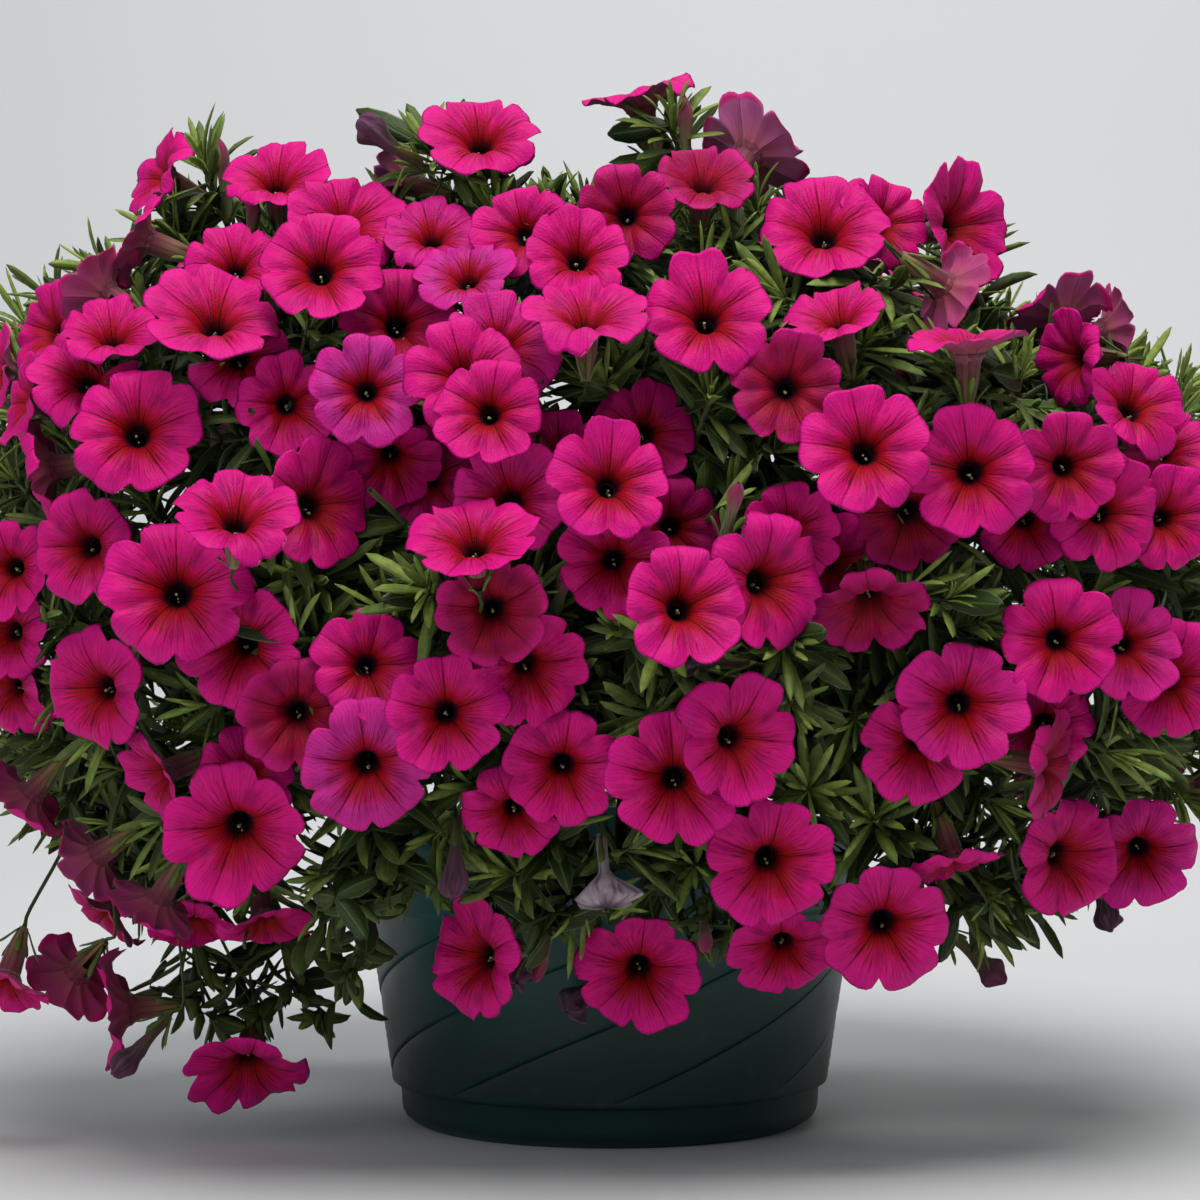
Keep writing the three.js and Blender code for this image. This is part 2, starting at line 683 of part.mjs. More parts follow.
// The tube's rings, then the stalk's, each ring square to the way it runs
const TUBE_SIDES = 4;
const STALK_SIDES = 3;
const FOOT_SIDES = 3;
function stalkRings(bloom, path, grow = 0) {
  const rings = [
    bloomRing(bloom, bloom.tube + grow, -TUBE_SHOULDER, TUBE_SIDES),
    bloomRing(bloom, CALYX_RADIUS + grow, -TUBE_LENGTH, STALK_SIDES),
  ];
  let [side] = across(bloom.normal);
  const angle = bloom.spin * 2 * Math.PI;
  const [, firstOver] = across(bloom.normal);
  side = side.multiplyScalar(Math.cos(angle)).addScaledVector(firstOver, Math.sin(angle));
  const points = [...path].reverse();
  for (let i = 1; i + 1 < points.length; i++) {
    const back = towards(points[i + 1], points[i - 1]);
    side = side.clone().addScaledVector(back, -side.dot(back)).normalize();
    const over = new THREE.Vector3().crossVectors(side, back).normalize();
    rings.push(ring(points[i], side, over, STALK_RADIUS + grow, STALK_SIDES));
  }
  const { points: corners, middle } = bloom.face;
  const outward = [...corners].reverse().map((p) => (
    grow > 0 ? along(p, towards(middle, p), 2 * grow) : p));
  rings.push(alignedFace(outward, rings[rings.length - 1]));
  rings.push([sunk(bloom.face)]);
  return rings;
}

// A withered bloom or a bud: its tube swells to an uneven mouth and closes to a tip
function closedRings(bloom, grow = 0) {
  const mouth = Array.from({ length: LOBES }, (_, i) => bloomPoint(
    bloom, bloom.radius * spread(bloom.index, 60 + i, 1 - bloom.crumple, 1) + grow, i / LOBES, 0));
  return [[bloomPoint(bloom, 0, 0, bloom.rise + grow)], mouth];
}

function bloomSolid(bloom, path) {
  if (bloom.closed) {
    return ringSolid([...closedRings(bloom), ...stalkRings(bloom, path)]);
  }
  return ringSolid([
    [bloomPoint(bloom, 0, 0, -PIT_DEPTH)],
    bloomRing(bloom, MOUTH * bloom.radius, 0, LOBES),
    bloomRim(bloom),
    ...stalkRings(bloom, path),
  ]);
}

// The space that a face fills, a little larger all round
function faceSpace(bloom) {
  if (bloom.closed) {
    const grow = 2 * CLEARANCE;
    return ringSolid([
      ...closedRings(bloom, grow), bloomRing(bloom, bloom.tube + grow, -TUBE_SHOULDER, TUBE_SIDES)]);
  }
  const rim = bloomRim(bloom, CLEARANCE);
  return ringSolid([
    [bloomPoint(bloom, 0, 0, CLEARANCE)],
    rim.map((p) => along(p, bloom.normal, CLEARANCE)),
    rim.map((p) => along(p, bloom.normal, -CLEARANCE)),
    bloomRing(bloom, TUBE_RADIUS + 2 * CLEARANCE, -TUBE_SHOULDER - CLEARANCE, TUBE_SIDES),
  ]);
}

function segmentGap(a, b, c, d) {
  const u = b.clone().sub(a);
  const v = d.clone().sub(c);
  const w = a.clone().sub(c);
  const uu = u.dot(u);
  const uv = u.dot(v);
  const vv = v.dot(v);
  const uw = u.dot(w);
  const vw = v.dot(w);
  const area = uu * vv - uv * uv;
  let s = area > 1e-9 ? THREE.MathUtils.clamp((uv * vw - vv * uw) / area, 0, 1) : 0;
  const t = THREE.MathUtils.clamp((uv * s + vw) / vv, 0, 1);
  s = THREE.MathUtils.clamp((uv * t - uw) / uu, 0, 1);
  return along(a, u, s).distanceTo(along(c, v, t));
}

// Slender members already placed, so that later ones are led clear of them
const members = [];
members.blooms = [];
function addMember(points, radius, owner) {
  for (let i = 0; i + 1 < points.length; i++) {
    members.push({ a: points[i], b: points[i + 1], radius, owner });
  }
}

function memberRoom(points, radius, owner) {
  let room = Infinity;
  for (let i = 0; i + 1 < points.length; i++) {
    for (const member of members) {
      if (member.owner !== owner) {
        const gap = segmentGap(points[i], points[i + 1], member.a, member.b) - radius - member.radius;
        room = Math.min(room, gap);
      }
    }
    for (const bloom of members.blooms) {
      if (bloom.owner !== owner) {
        room = Math.min(room, faceRoom(bloom, points[i], points[i + 1]) - radius);
      }
    }
  }
  return room;
}

// Room between a straight stretch and the face of a bloom
const FACE_SAMPLES = 8;
const FACE_HALF = 1.5;
function faceRoom(bloom, a, b) {
  let room = Infinity;
  if (segmentGap(a, b, bloom.centre, along(bloom.centre, bloom.normal, 1)) > 2 * MAX_BLOOM) {
    return room;
  }
  for (let k = 0; k <= FACE_SAMPLES; k++) {
    const q = a.clone().lerp(b, k / FACE_SAMPLES).sub(bloom.centre);
    const height = q.dot(bloom.normal);
    const distance = q.addScaledVector(bloom.normal, -height).length();
    const beyond = Math.max(0, distance - bloom.radius);
    const above = height - flare(bloom, Math.min(distance, bloom.radius));
    room = Math.min(room, Math.hypot(above, beyond) - FACE_HALF);
  }
  return room;
}

// The best of several bends of a path, so that it runs clear of what is already there
const BEND_REACHES = [6, 12, 18, 26, 34];
const BEND_TURNS = 8;
const GOOD_ROOM = 1.2;
function leadClear(makePath, axis, radius, owner, skip = 0) {
  const [side, over] = across(axis);
  let best = makePath(new THREE.Vector3());
  let bestRoom = memberRoom(best.slice(skip), radius, owner);
  for (const reach of BEND_REACHES) {
    for (let i = 0; i < BEND_TURNS; i++) {
      if (bestRoom > GOOD_ROOM) {
        return best;
      }
      const angle = i * 2 * Math.PI / BEND_TURNS;
      const offset = side.clone().multiplyScalar(reach * Math.cos(angle));
      offset.addScaledVector(over, reach * Math.sin(angle));
      const path = makePath(offset);
      const room = memberRoom(path.slice(skip), radius, owner);
      if (room > bestRoom) {
        best = path;
        bestRoom = room;
      }
    }
  }
  return best;
}

// A closed bloom stands a little further in or out, where it is clear of the open ones,
// and hangs from the nearest spray
const CLOSED_INDEX = 400;
const WITHERED_CRUMPLE = 0.4;
const BUD_CRUMPLE = 0.1;
const CLOSED_TUBE = 3.2;
const CLOSED_SHIFTS = [0, 5, -5, 10, -10, 15, -15, 20, -20, 26, -26];
const CLOSED_ROOM = 2;
const SPRAY_LIMIT = 6;
const SPRAY_NEAR = 22;
function addClosedBloom([x, y, yaw, pitch, radius, rise], index, crumple, sprays) {
  const seen = seenPoint(x, y);
  const view = towards(seen, EYE);
  const normal = facing(yaw, pitch);
  const line = (shift) => {
    const centre = along(seen, view, shift);
    return [along(centre, normal, rise), centre, along(centre, normal, -TUBE_LENGTH)];
  };
  const rooms = CLOSED_SHIFTS.map((shift) => memberRoom(line(shift), radius, null));
  const clear = rooms.findIndex((room) => room > CLOSED_ROOM);
  const shift = CLOSED_SHIFTS[clear < 0 ? rooms.indexOf(Math.max(...rooms)) : clear];
  const [tip, centre, base] = line(shift);
  const open = sprays.filter(({ items, root }) => (
    items.length < SPRAY_LIMIT && root.distanceTo(base) > SPRAY_NEAR));
  const spray = open.sort((a, b) => a.root.distanceTo(base) - b.root.distanceTo(base))[0];
  const bloom = {
    centre, normal, radius, rise, crumple, index, view, closed: true, front: true,
    cup: 0, spin: draw(index, 12), tube: Math.min(CLOSED_TUBE, radius), owner: spray.owner,
  };
  spray.items.push({ bloom, base });
  addMember([tip, base], radius, spray.owner);
  return bloom;
}

// Plan of the whole plant: stems, their sprays and rosettes, and the paths of all their stalks
const SPRAY_INSET = 0.9;
const SPRAY_DEPTH = 15;
const SHOOT_END = 0.9;
const LOWEST_SPRAY = 0.6;
const SPRAY_STEP = 0.02;
const SHOOT_STATIONS = [0, 0.4, 0.75, 1];
const SHOOT_PARTING = 0.8;
const ROSETTE_KEY = 100;
const SPRAY_LEAVES = 4;
const STRAIGHT_AT_BLOOM = 0.2;
const STRAIGHT_AT_KNOT = 0.6;
const HUB_RISE = 7;
const FOOT_RADIUS = 1.9;
const STALK_STEP = 3;
const KNOT_RADIUS = 3;
const SPRAY_KNOT = new THREE.OctahedronGeometry(KNOT_RADIUS);
const STEM_KNOT_RADIUS = 5.5;
const STEM_KNOT = new THREE.IcosahedronGeometry(STEM_KNOT_RADIUS);
const STEM_FORK = 0.2;
const STALK_LEAD = 11;
const NECK_MIDDLE = 18;
const NECK_RADIUS = 4.6;
const ROSETTE_DEPTH = 8;

function planPlant(blooms) {
  const bloomItems = blooms.map((bloom) => {
    const base = along(bloom.centre, bloom.normal, -TUBE_LENGTH);
    return { place: planPlace(base), bloom, base };
  });
  const rosetteItems = ROSETTES.map(([x, y, leaves], i) => {
    const seen = seenPoint(x, y);
    const tip = along(seen, towards(seen, EYE), -ROSETTE_DEPTH);
    return { place: planPlace(tip), tip, leaves, index: i };
  });
  const groups = partInto([...bloomItems, ...rosetteItems], STEMS);
  let counted = 0;
  const stems = groups.map((items, index) => {
    const flowering = items.filter((item) => item.bloom);
    const before = Math.round(counted * SPRAYS / blooms.length);
    counted += flowering.length;
    const sprayCount = Math.round(counted * SPRAYS / blooms.length) - before;
    const place = middlePlace(items);
    return {
      index,
      owner: `stem${index}`,
      place,
      sprayGroups: partInto(flowering, sprayCount),
      rosettes: items.filter((item) => item.tip),
    };
  });

  stems.forEach((stem) => {
    stem.sprays = stem.sprayGroups.map((items) => {
      const place = between(stem.place, middlePlace(items), SPRAY_INSET);
      let t = SHOOT_END;
      let root;
      let heading;
      for (; t > LOWEST_SPRAY; t -= SPRAY_STEP) {
        root = growthPoint(place, t);
        heading = towards(growthPoint(place, t - 2 * SPRAY_STEP), root);
        const ahead = items.map(({ base }) => base.clone().sub(root).dot(heading));
        const mean = ahead.reduce((sum, value) => sum + value, 0) / ahead.length;
        const near = Math.min(...items.map(({ base }) => base.distanceTo(root)));
        if (mean > SPRAY_DEPTH + STALK_STEP * items.length && near > SPRAY_DEPTH) {
          break;
        }
      }
      return { items, place, t, root, heading, owner: null };
    });
  });
  members.blooms = [...blooms];
  let sprayIndex = 0;
  for (const stem of stems) {
    for (const spray of stem.sprays) {
      spray.index = sprayIndex++;
      spray.owner = `spray${spray.index}`;
      for (const { bloom } of spray.items) {
        bloom.owner = spray.owner;
        const neck = (depth) => along(bloom.centre, bloom.normal, -depth);
        addMember([neck(TUBE_SHOULDER), neck(NECK_MIDDLE)], TUBE_RADIUS, spray.owner);
        addMember([neck(NECK_MIDDLE), neck(TUBE_LENGTH + 1)], NECK_RADIUS, spray.owner);
      }
    }
  }

  const sprays = stems.flatMap((stem) => stem.sprays);
  const closedRows = [...WITHERED, ...BUDS];
  closedRows.forEach((row, i) => {
    const crumple = i < WITHERED.length ? WITHERED_CRUMPLE : BUD_CRUMPLE;
    blooms.push(addClosedBloom(row, CLOSED_INDEX + i, crumple, sprays));
  });

  for (const stem of stems) {
    const seat = growthPoint(stem.place, 0);
    stem.path = [
      new THREE.Vector3(seat.x, seat.y, SOIL_TOP - STEM_SEAT + SOIL_GAP),
      new THREE.Vector3(seat.x, seat.y, SOIL_TOP + 2),
      growthPoint(stem.place, STEM_FORK),
    ];
    addMember(stem.path, STEM_RADIUS, stem.owner);
  }
  for (const stem of stems) {
    stem.shoots = [];
    const fork = stem.path[stem.path.length - 1];
    const addShoot = (place, endT, tip, index, leaves) => {
      const owner = `${stem.owner}shoot${index}`;
      const makePath = (offset) => SHOOT_STATIONS.map((q) => {
        const parted = between(stem.place, place, q ** SHOOT_PARTING);
        const p = growthPoint(parted, STEM_FORK + (endT - STEM_FORK) * q);
        if (q === 0) {
          return fork;
        }
        return q === 1 && tip ? tip.clone() : p.addScaledVector(offset, 4 * q * (1 - q));
      });
      const path = leadClear(makePath, UP, SHOOT_RADIUS, owner, 1);
      addMember(path.slice(1), SHOOT_RADIUS, owner);
      stem.shoots.push({ path, leaves, index, rosette: tip !== null, owner });
    };
    stem.sprays.forEach((spray) => addShoot(spray.place, spray.t, null, spray.index, SPRAY_LEAVES));
    stem.rosettes.forEach((rosette) => {
      addShoot(rosette.place, SHOOT_END, rosette.tip, ROSETTE_KEY + rosette.index, rosette.leaves);
    });
    const headings = stem.shoots.map(({ path }) => towards(fork, path[1]));
    const down = towards(fork, stem.path[1]);
    const knot = bestKnot(STEM_KNOT, fork, down.clone().negate(), [down, ...headings]);
    stem.knot = knot.faces;
    [stem.rootFace, ...stem.faces] = knot.taken;
  }
  for (const stem of stems) {
    for (const spray of stem.sprays) {
      const start = along(spray.root, spray.heading, SEAM);
      spray.hub = along(spray.root, spray.heading, HUB_RISE);
      spray.foot = [start, spray.hub];
      addMember(spray.foot, FOOT_RADIUS, spray.owner);
      const headings = spray.items.map(({ bloom, base }) => (
        towards(spray.hub, along(base, bloom.normal, -STALK_LEAD))));
      const knot = bestKnot(SPRAY_KNOT, spray.hub, spray.heading,
        [spray.heading.clone().negate(), ...headings]);
      [spray.footFace, ...spray.faces] = knot.taken;
      spray.knot = knot.faces;
      spray.stalks = spray.items.map(({ bloom, base }, i) => {
        bloom.face = spray.faces[i];
        const joint = bloom.face.middle;
        const straight = [joint, base];
        const direct = towards(joint, base);
        if (memberRoom(straight, STALK_RADIUS, spray.owner) > GOOD_ROOM
          && direct.dot(bloom.normal) > STRAIGHT_AT_BLOOM
          && direct.dot(bloom.face.normal) > STRAIGHT_AT_KNOT) {
          addMember(straight, STALK_RADIUS, spray.owner);
          return straight;
        }
        const lead = along(base, bloom.normal, -STALK_LEAD);
        const makePath = (offset) => [joint, lead.clone().add(offset), base];
        const path = leadClear(makePath, direct, STALK_RADIUS, spray.owner);
        addMember(path, STALK_RADIUS, spray.owner);
        return path;
      });
    }
  }
  return stems;
}

// Leaves stand round a shoot, joined at their feet, each thick along its middle
const WHORL_CORE = 3;
const WHORL_CREASE = 1.8;
const LEAF_DROOP = 0.12;
const LEAF_KEEL = 0.12;
function leafPoints(whorl, leaf) {
  const { centre, axis, side, over } = whorl;
  const out = side.clone().multiplyScalar(Math.cos(leaf.turn)).addScaledVector(over, Math.sin(leaf.turn));
  const heading = axis.clone().multiplyScalar(Math.cos(leaf.open)).addScaledVector(out, Math.sin(leaf.open));
  const wide = side.clone().multiplyScalar(-Math.sin(leaf.turn)).addScaledVector(over, Math.cos(leaf.turn));
  const lift = axis.clone().multiplyScalar(Math.sin(leaf.open)).addScaledVector(out, -Math.cos(leaf.open));
  const at = (far, sideways) => along(centre, heading, far * leaf.length)
    .addScaledVector(wide, sideways * leaf.width / 2)
    .addScaledVector(lift, Math.abs(sideways) * leaf.width * LEAF_KEEL)
    .addScaledVector(UP, -LEAF_DROOP * far * far * leaf.length);
  return [at(0.5, -1), at(1, 0), at(0.5, 1)];
}

// The outline of a whorl: its leaves in turn, with creases between them
function whorlOutline(whorl, leaves) {
  const { centre, side, over } = whorl;
  const full = 2 * Math.PI;
  const turnOf = (leaf) => ((leaf.turn % full) + full) % full;
  const sorted = [...leaves].sort((a, b) => turnOf(a) - turnOf(b));
  const outline = [];
  outline.turns = [];
  const add = (p, turn) => {
    outline.push(p);
    outline.turns.push(turn / full);
  };
  sorted.forEach((leaf, i) => {
    const turn = turnOf(leaf);
    const next = i + 1 < sorted.length ? turnOf(sorted[i + 1]) : turnOf(sorted[0]) + full;
    const reach = Math.atan2(leaf.width / 2, leaf.length * Math.sin(leaf.open) / 2);
    const [left, tip, right] = leafPoints(whorl, leaf);
    add(left, turn - reach);
    add(tip, turn);
    add(right, turn + reach);
    const creases = next - turn > Math.PI ? 3 : 1;
    for (let k = 1; k <= creases; k++) {
      const angle = turn + (next - turn) * k / (creases + 1);
      const p = along(centre, side, WHORL_CORE * Math.cos(angle));
      add(p.addScaledVector(over, WHORL_CORE * Math.sin(angle)), angle);
    }
  });
  return outline;
}

function whorlProbe(whorl, leaves) {
  const { centre, axis } = whorl;
  return ringSolid([
    [along(centre, axis, -WHORL_CREASE)], whorlOutline(whorl, leaves), [along(centre, axis, WHORL_CREASE)]]);
}

// Grown copies of what is already made, cut from what comes later to keep a gap to it
const CUT_REACH = 110;
const made = [];
function keepClear(solid, centre, owner) {
  const near = made.filter((item) => item.owner !== owner && item.centre.distanceTo(centre) < CUT_REACH);
  return near.reduce((rest, item) => {
    const shared = rest.intersect(item.grown);
    return shared.isEmpty() ? rest : rest.subtract(item.grown);
  }, solid);
}

function remember(grown, centre, owner) {
  made.push({ grown, centre, owner });
}

const ROD_END = 0.2;
function rememberRod(points, startRadius, endRadius, sides, owner) {
  const growth = CLEARANCE / Math.cos(Math.PI / sides);
  for (let i = 0; i + 1 < points.length; i++) {
    const heading = towards(points[i], points[i + 1]);
    const ends = [along(points[i], heading, -ROD_END), along(points[i + 1], heading, ROD_END)];
    const startT = i / (points.length - 1);
    const endT = (i + 1) / (points.length - 1);
    const radiusAt = (t) => startRadius + (endRadius - startRadius) * t + growth;
    const middle = ends[0].clone().lerp(ends[1], 0.5);
    remember(rod(ends, radiusAt(startT), radiusAt(endT), sides), middle, owner);
  }
}

// The one body that counts: scraps and sealed hollows are dropped, near points are merged,
// and a surface with slivers, or one that touches itself, is smoothed a little more
const MERGE = 0.002;
const SMOOTHING = 0.08;
const CLEANING_ROUNDS = 6;
const SLIVER = 0.025;
function largestPiece(solid) {
  let whole = solid;
  for (let round = 1; round <= CLEANING_ROUNDS; round++) {
    const pieces = whole.simplify(SMOOTHING * round).decompose().sort((a, b) => b.volume() - a.volume());
    const merged = mergeVertices(geometryFrom(pieces[0]), MERGE);
    whole = solidFrom(merged.attributes.position.array, merged.index.array);
    const corners = merged.index.array;
    if (whole.decompose().length === 1 && !touchesItself(corners)
      && thinnest(merged.attributes.position, corners) > SLIVER) {
      break;
    }
  }
  return whole;
}

// The lowest height of any triangle over its longest side
function thinnest(positions, corners) {
  const triangle = new THREE.Triangle();
  let least = Infinity;
  for (let i = 0; i < corners.length; i += 3) {
    triangle.setFromAttributeAndIndices(positions, corners[i], corners[i + 1], corners[i + 2]);
    const { a, b, c } = triangle;
    const longest = Math.max(a.distanceTo(b), b.distanceTo(c), c.distanceTo(a));
    least = Math.min(least, 2 * triangle.getArea() / longest);
  }
  return least;
}

// Whether two pairs of faces share one edge
function touchesItself(corners) {
  const seen = new Set();
  for (let i = 0; i < corners.length; i += 3) {
    for (let k = 0; k < 3; k++) {
      const edge = `${corners[i + k]} ${corners[i + (k + 1) % 3]}`;
      if (seen.has(edge)) {
        return true;
      }
      seen.add(edge);
    }
  }
  return false;
}

function geometryFrom(solid) {
  const data = solid.getMesh();
  const geometry = new THREE.BufferGeometry();
  geometry.setAttribute('position', new THREE.BufferAttribute(Float32Array.from(data.vertProperties), 3));
  geometry.setIndex(Array.from(data.triVerts));
  return geometry;
}

function fused(solids) {
  return largestPiece(wasm.Manifold.union(solids));
}

function meshFrom(solid, material, name) {
  const flat = geometryFrom(solid).toNonIndexed();
  flat.computeVertexNormals();
  const mesh = new THREE.Mesh(flat, material);
  mesh.name = name;
  return mesh;
}

function meetsOthers(solid, centre, owner) {
  return made.some((item) => item.owner !== owner && item.centre.distanceTo(centre) < CUT_REACH
    && !solid.intersect(item.grown).isEmpty());
}

// A leaf fits where it meets nothing of another stem or spray
const LEAF_TRIES = 6;
const LEAF_JITTER = 0.15;
const WHORL_SHARE = 0.42;
const LOWEST_LEAF = 14;
const LEAF_APART = 9;
const LEAF_FOOT = 0.2;
const LEAF_LENGTH = [26, 38];
const LEAF_WIDTH = [9, 13];
const LEAF_OPENING = 46;
const LEAF_OPENING_STEP = 8;
const LEAF_OPENING_SPREAD = 5;
const SHORT_LEAF = 0.75;
const LAST_LONG_TRY = 3;
const leafLines = [];
function leafFits(whorl, leaf, owner) {
  const { centre } = whorl;
  const tip = leafPoints(whorl, leaf)[1];
  const start = centre.clone().lerp(tip, LEAF_FOOT);
  if (tip.z < LOWEST_LEAF) {
    return false;
  }
  for (const member of members) {
    const own = member.owner === owner;
    const from = own ? centre.clone().lerp(tip, 0.5) : start;
    if (segmentGap(from, tip, member.a, member.b) < member.radius + (own ? 1 : 3)) {
      return false;
    }
  }
  for (const other of leafLines) {
    if (other.centre !== centre && segmentGap(start, tip, other.start, other.tip) < LEAF_APART) {
      return false;
    }
  }
  return !meetsOthers(whorlProbe(whorl, [leaf]), centre, owner);
}

function whorlLeaves(whorl, slots, owner, key) {
  const leaves = [];
  for (let k = 0; k < slots; k++) {
    for (let attempt = 0; attempt < LEAF_TRIES; attempt++) {
      const id = key * 61 + k * 7 + attempt;
      const leaf = {
        turn: (k + LEAF_JITTER * draw(id, 70)) * 2 * Math.PI / slots + key,
        open: THREE.MathUtils.degToRad(LEAF_OPENING + LEAF_OPENING_STEP * attempt
          + spread(id, 71, -LEAF_OPENING_SPREAD, LEAF_OPENING_SPREAD)),
        length: spread(id, 72, ...LEAF_LENGTH) * (attempt > LAST_LONG_TRY ? SHORT_LEAF : 1),
      };
      const roomy = 2 * Math.tan(WHORL_SHARE * (1 - LEAF_JITTER) * 2 * Math.PI / slots);
      leaf.width = Math.min(spread(id, 73, ...LEAF_WIDTH), roomy * leaf.length * Math.sin(leaf.open) / 2);
      if (leafFits(whorl, leaf, owner)) {
        const tip = leafPoints(whorl, leaf)[1];
        leafLines.push({ centre: whorl.centre, start: whorl.centre.clone().lerp(tip, LEAF_FOOT), tip });
        leaves.push(leaf);
        break;
      }
    }
  }
  return leaves;
}

// A shoot is one rod whose rings open into whorls of leaves near its tip
const TIP_WHORL_BACK = 2.5;
const WHORL_STEP = 9;
const SPRAY_WHORL_BACK = 5;
function shootSolid({ path, leaves, index, rosette, owner }, face) {
  const rings = [];
  const last = path.length - 1;
  let [side] = across(towards(path[0], path[1]));
  const frameAt = (i) => {
    const axis = towards(path[Math.max(0, i - 1)], path[Math.min(last, i + 1)]);
    side = side.clone().addScaledVector(axis, -side.dot(axis)).normalize();
    return { axis, side, over: new THREE.Vector3().crossVectors(axis, side).normalize() };
  };
  const radiusAt = (t) => SHOOT_RADIUS + (SHOOT_TIP_RADIUS - SHOOT_RADIUS) * t;
  for (let i = 1; i < last; i++) {
    const frame = frameAt(i);
    rings.push(ring(path[i], frame.side, frame.over, radiusAt(i / last), 3));
  }
  rings.unshift([sunk(face)], alignedFace(face.points, rings[0]));
  const end = path[last];
  const frame = frameAt(last);
  const inner = Math.floor(leaves / 2);
  const whorls = rosette
    ? [[TIP_WHORL_BACK + WHORL_STEP, leaves - inner + 1], [TIP_WHORL_BACK, inner]]
    : [[SPRAY_WHORL_BACK, leaves]];
  whorls.forEach(([back, slots], k) => {
    const centre = along(end, frame.axis, -back);
    const whorl = { centre, ...frame };
    const found = whorlLeaves(whorl, slots, owner, index + 50 * k);
    while (found.length > 1 && meetsOthers(whorlProbe(whorl, found), centre, owner)) {
      found.pop();
    }
    if (found.length > 1) {
      const level = (height) => ring(
        along(centre, frame.axis, height), frame.side, frame.over, SHOOT_TIP_RADIUS, 3);
      rings.push(level(-WHORL_CREASE), whorlOutline(whorl, found), level(WHORL_CREASE));
    }
  });
  rings.push(ring(end, frame.side, frame.over, SHOOT_TIP_RADIUS, 3));
  return ringSolid(rings);
}

function stemSolid(stem) {
  const root = rootRings(stem);
  const parts = [knotSolid(stem.knot), ringSolid(root)];
  stem.shoots.forEach((shoot, i) => parts.push(shootSolid(shoot, stem.faces[i])));
  return fused(parts);
}

const ROOT_SIDES = 4;
function rootRings(stem, grow = 0) {
  const [seat, collar] = stem.path;
  const levels = [seat, collar].map((p) => (
    ring(p, new THREE.Vector3(1, 0, 0), new THREE.Vector3(0, 1, 0), STEM_RADIUS + grow, ROOT_SIDES)));
  return [...levels, alignedFace([...stem.rootFace.points].reverse(), levels[1]), [sunk(stem.rootFace)]];
}

function makePlant(stems) {
  const sprays = stems.flatMap((stem) => stem.sprays);
  for (const stem of stems) {
    rememberRod(stem.path, STEM_RADIUS, STEM_RADIUS, 4, stem.owner);
    stem.shoots.forEach((shoot) => {
      rememberRod(shoot.path.slice(1), SHOOT_RADIUS, SHOOT_TIP_RADIUS, 3, shoot.owner);
    });
  }
  for (const spray of sprays) {
    rememberRod(spray.foot, FOOT_RADIUS, FOOT_RADIUS, 4, spray.owner);
    const knotEnds = [-KNOT_RADIUS, KNOT_RADIUS].map((far) => along(spray.hub, spray.heading, far));
    rememberRod(knotEnds, KNOT_RADIUS, KNOT_RADIUS, 6, spray.owner);
    spray.items.forEach(({ bloom }, i) => {
      bloom.path = spray.stalks[i];
      const middle = along(bloom.centre, bloom.normal, -TUBE_LENGTH);
      remember(ringSolid(stalkRings(bloom, bloom.path, 2 * CLEARANCE)), middle, spray.owner);
    });
  }
  const bySpray = new Map(sprays.map((spray) => [spray.owner, []]));
  const rank = (bloom) => (bloom.closed ? 0 : 1) + (bloom.front ? 0 : 1);
  const ordered = [...plantBlooms].sort((a, b) => (
    rank(a) - rank(b) || a.centre.distanceTo(EYE) - b.centre.distanceTo(EYE)));
  for (const bloom of ordered) {
    const whole = bloomSolid(bloom, bloom.path);
    let solid = keepClear(whole, bloom.centre, bloom.owner);
    if (solid !== whole) {
      solid = solid.add(ringSolid(stalkRings(bloom, bloom.path)));
    }
    bySpray.get(bloom.owner).push(solid);
    remember(faceSpace(bloom), bloom.centre, bloom.owner);
  }
  for (const spray of sprays) {
    const [side, over] = across(spray.heading);
    const footRing = ring(spray.foot[0], side, over, FOOT_RADIUS, FOOT_SIDES);
    const foot = ringSolid([
      footRing, alignedFace([...spray.footFace.points].reverse(), footRing), [sunk(spray.footFace)]]);
    const parts = [...bySpray.get(spray.owner), knotSolid(spray.knot), foot];
    spray.solid = fused(parts);
    remember(spray.solid, spray.hub, spray.owner);
  }
  for (const stem of stems) {
    stem.solid = stemSolid(stem);
  }
}

// Pot
const potMaterial = new THREE.MeshStandardMaterial({ color: 0x16332f, roughness: 0.45, metalness: 0 });
const soilMaterial = new THREE.MeshStandardMaterial({ color: 0x3a2a1e, roughness: 1, metalness: 0 });
const leafMaterial = new THREE.MeshStandardMaterial({ color: 0x4f7030, roughness: 0.8, metalness: 0 });
const petalMaterial = new THREE.MeshStandardMaterial({ color: 0xc81a80, roughness: 0.7, metalness: 0 });

function turned(profile, columns, dent = () => 0) {
  const rings = profile.map(([radius, height]) => {
    if (radius === 0) {
      return [new THREE.Vector3(0, 0, height)];
    }
    return Array.from({ length: columns }, (_, i) => {
      const angle = i * 2 * Math.PI / columns;
      const r = radius - dent(i, height);
      return new THREE.Vector3(r * Math.cos(angle), r * Math.sin(angle), height);
    });
  });
  return ringSolid(rings);
}

const wallRadius = (z) => POT_SHOULDER_RADIUS + POT_TAPER * (z - POT_BAND_TOP - 2);
const INNER_COLUMNS = 24;
const FLOOR_CORNER = 4;
const STEP_INSIDE = POT_BAND_TOP + 6;
function potInside(gap, top) {
  return [
    [0, POT_FLOOR + gap], [POT_FOOT_RADIUS - FLOOR_CORNER - gap, POT_FLOOR + gap],
    [POT_BAND_RADIUS - POT_WALL - gap, POT_BAND_BOTTOM + 2 + gap],
    [POT_BAND_RADIUS - POT_WALL - gap, POT_BAND_TOP],
    [wallRadius(STEP_INSIDE) - POT_WALL - gap, STEP_INSIDE],
    [wallRadius(top) - POT_WALL - gap, top],
  ];
}

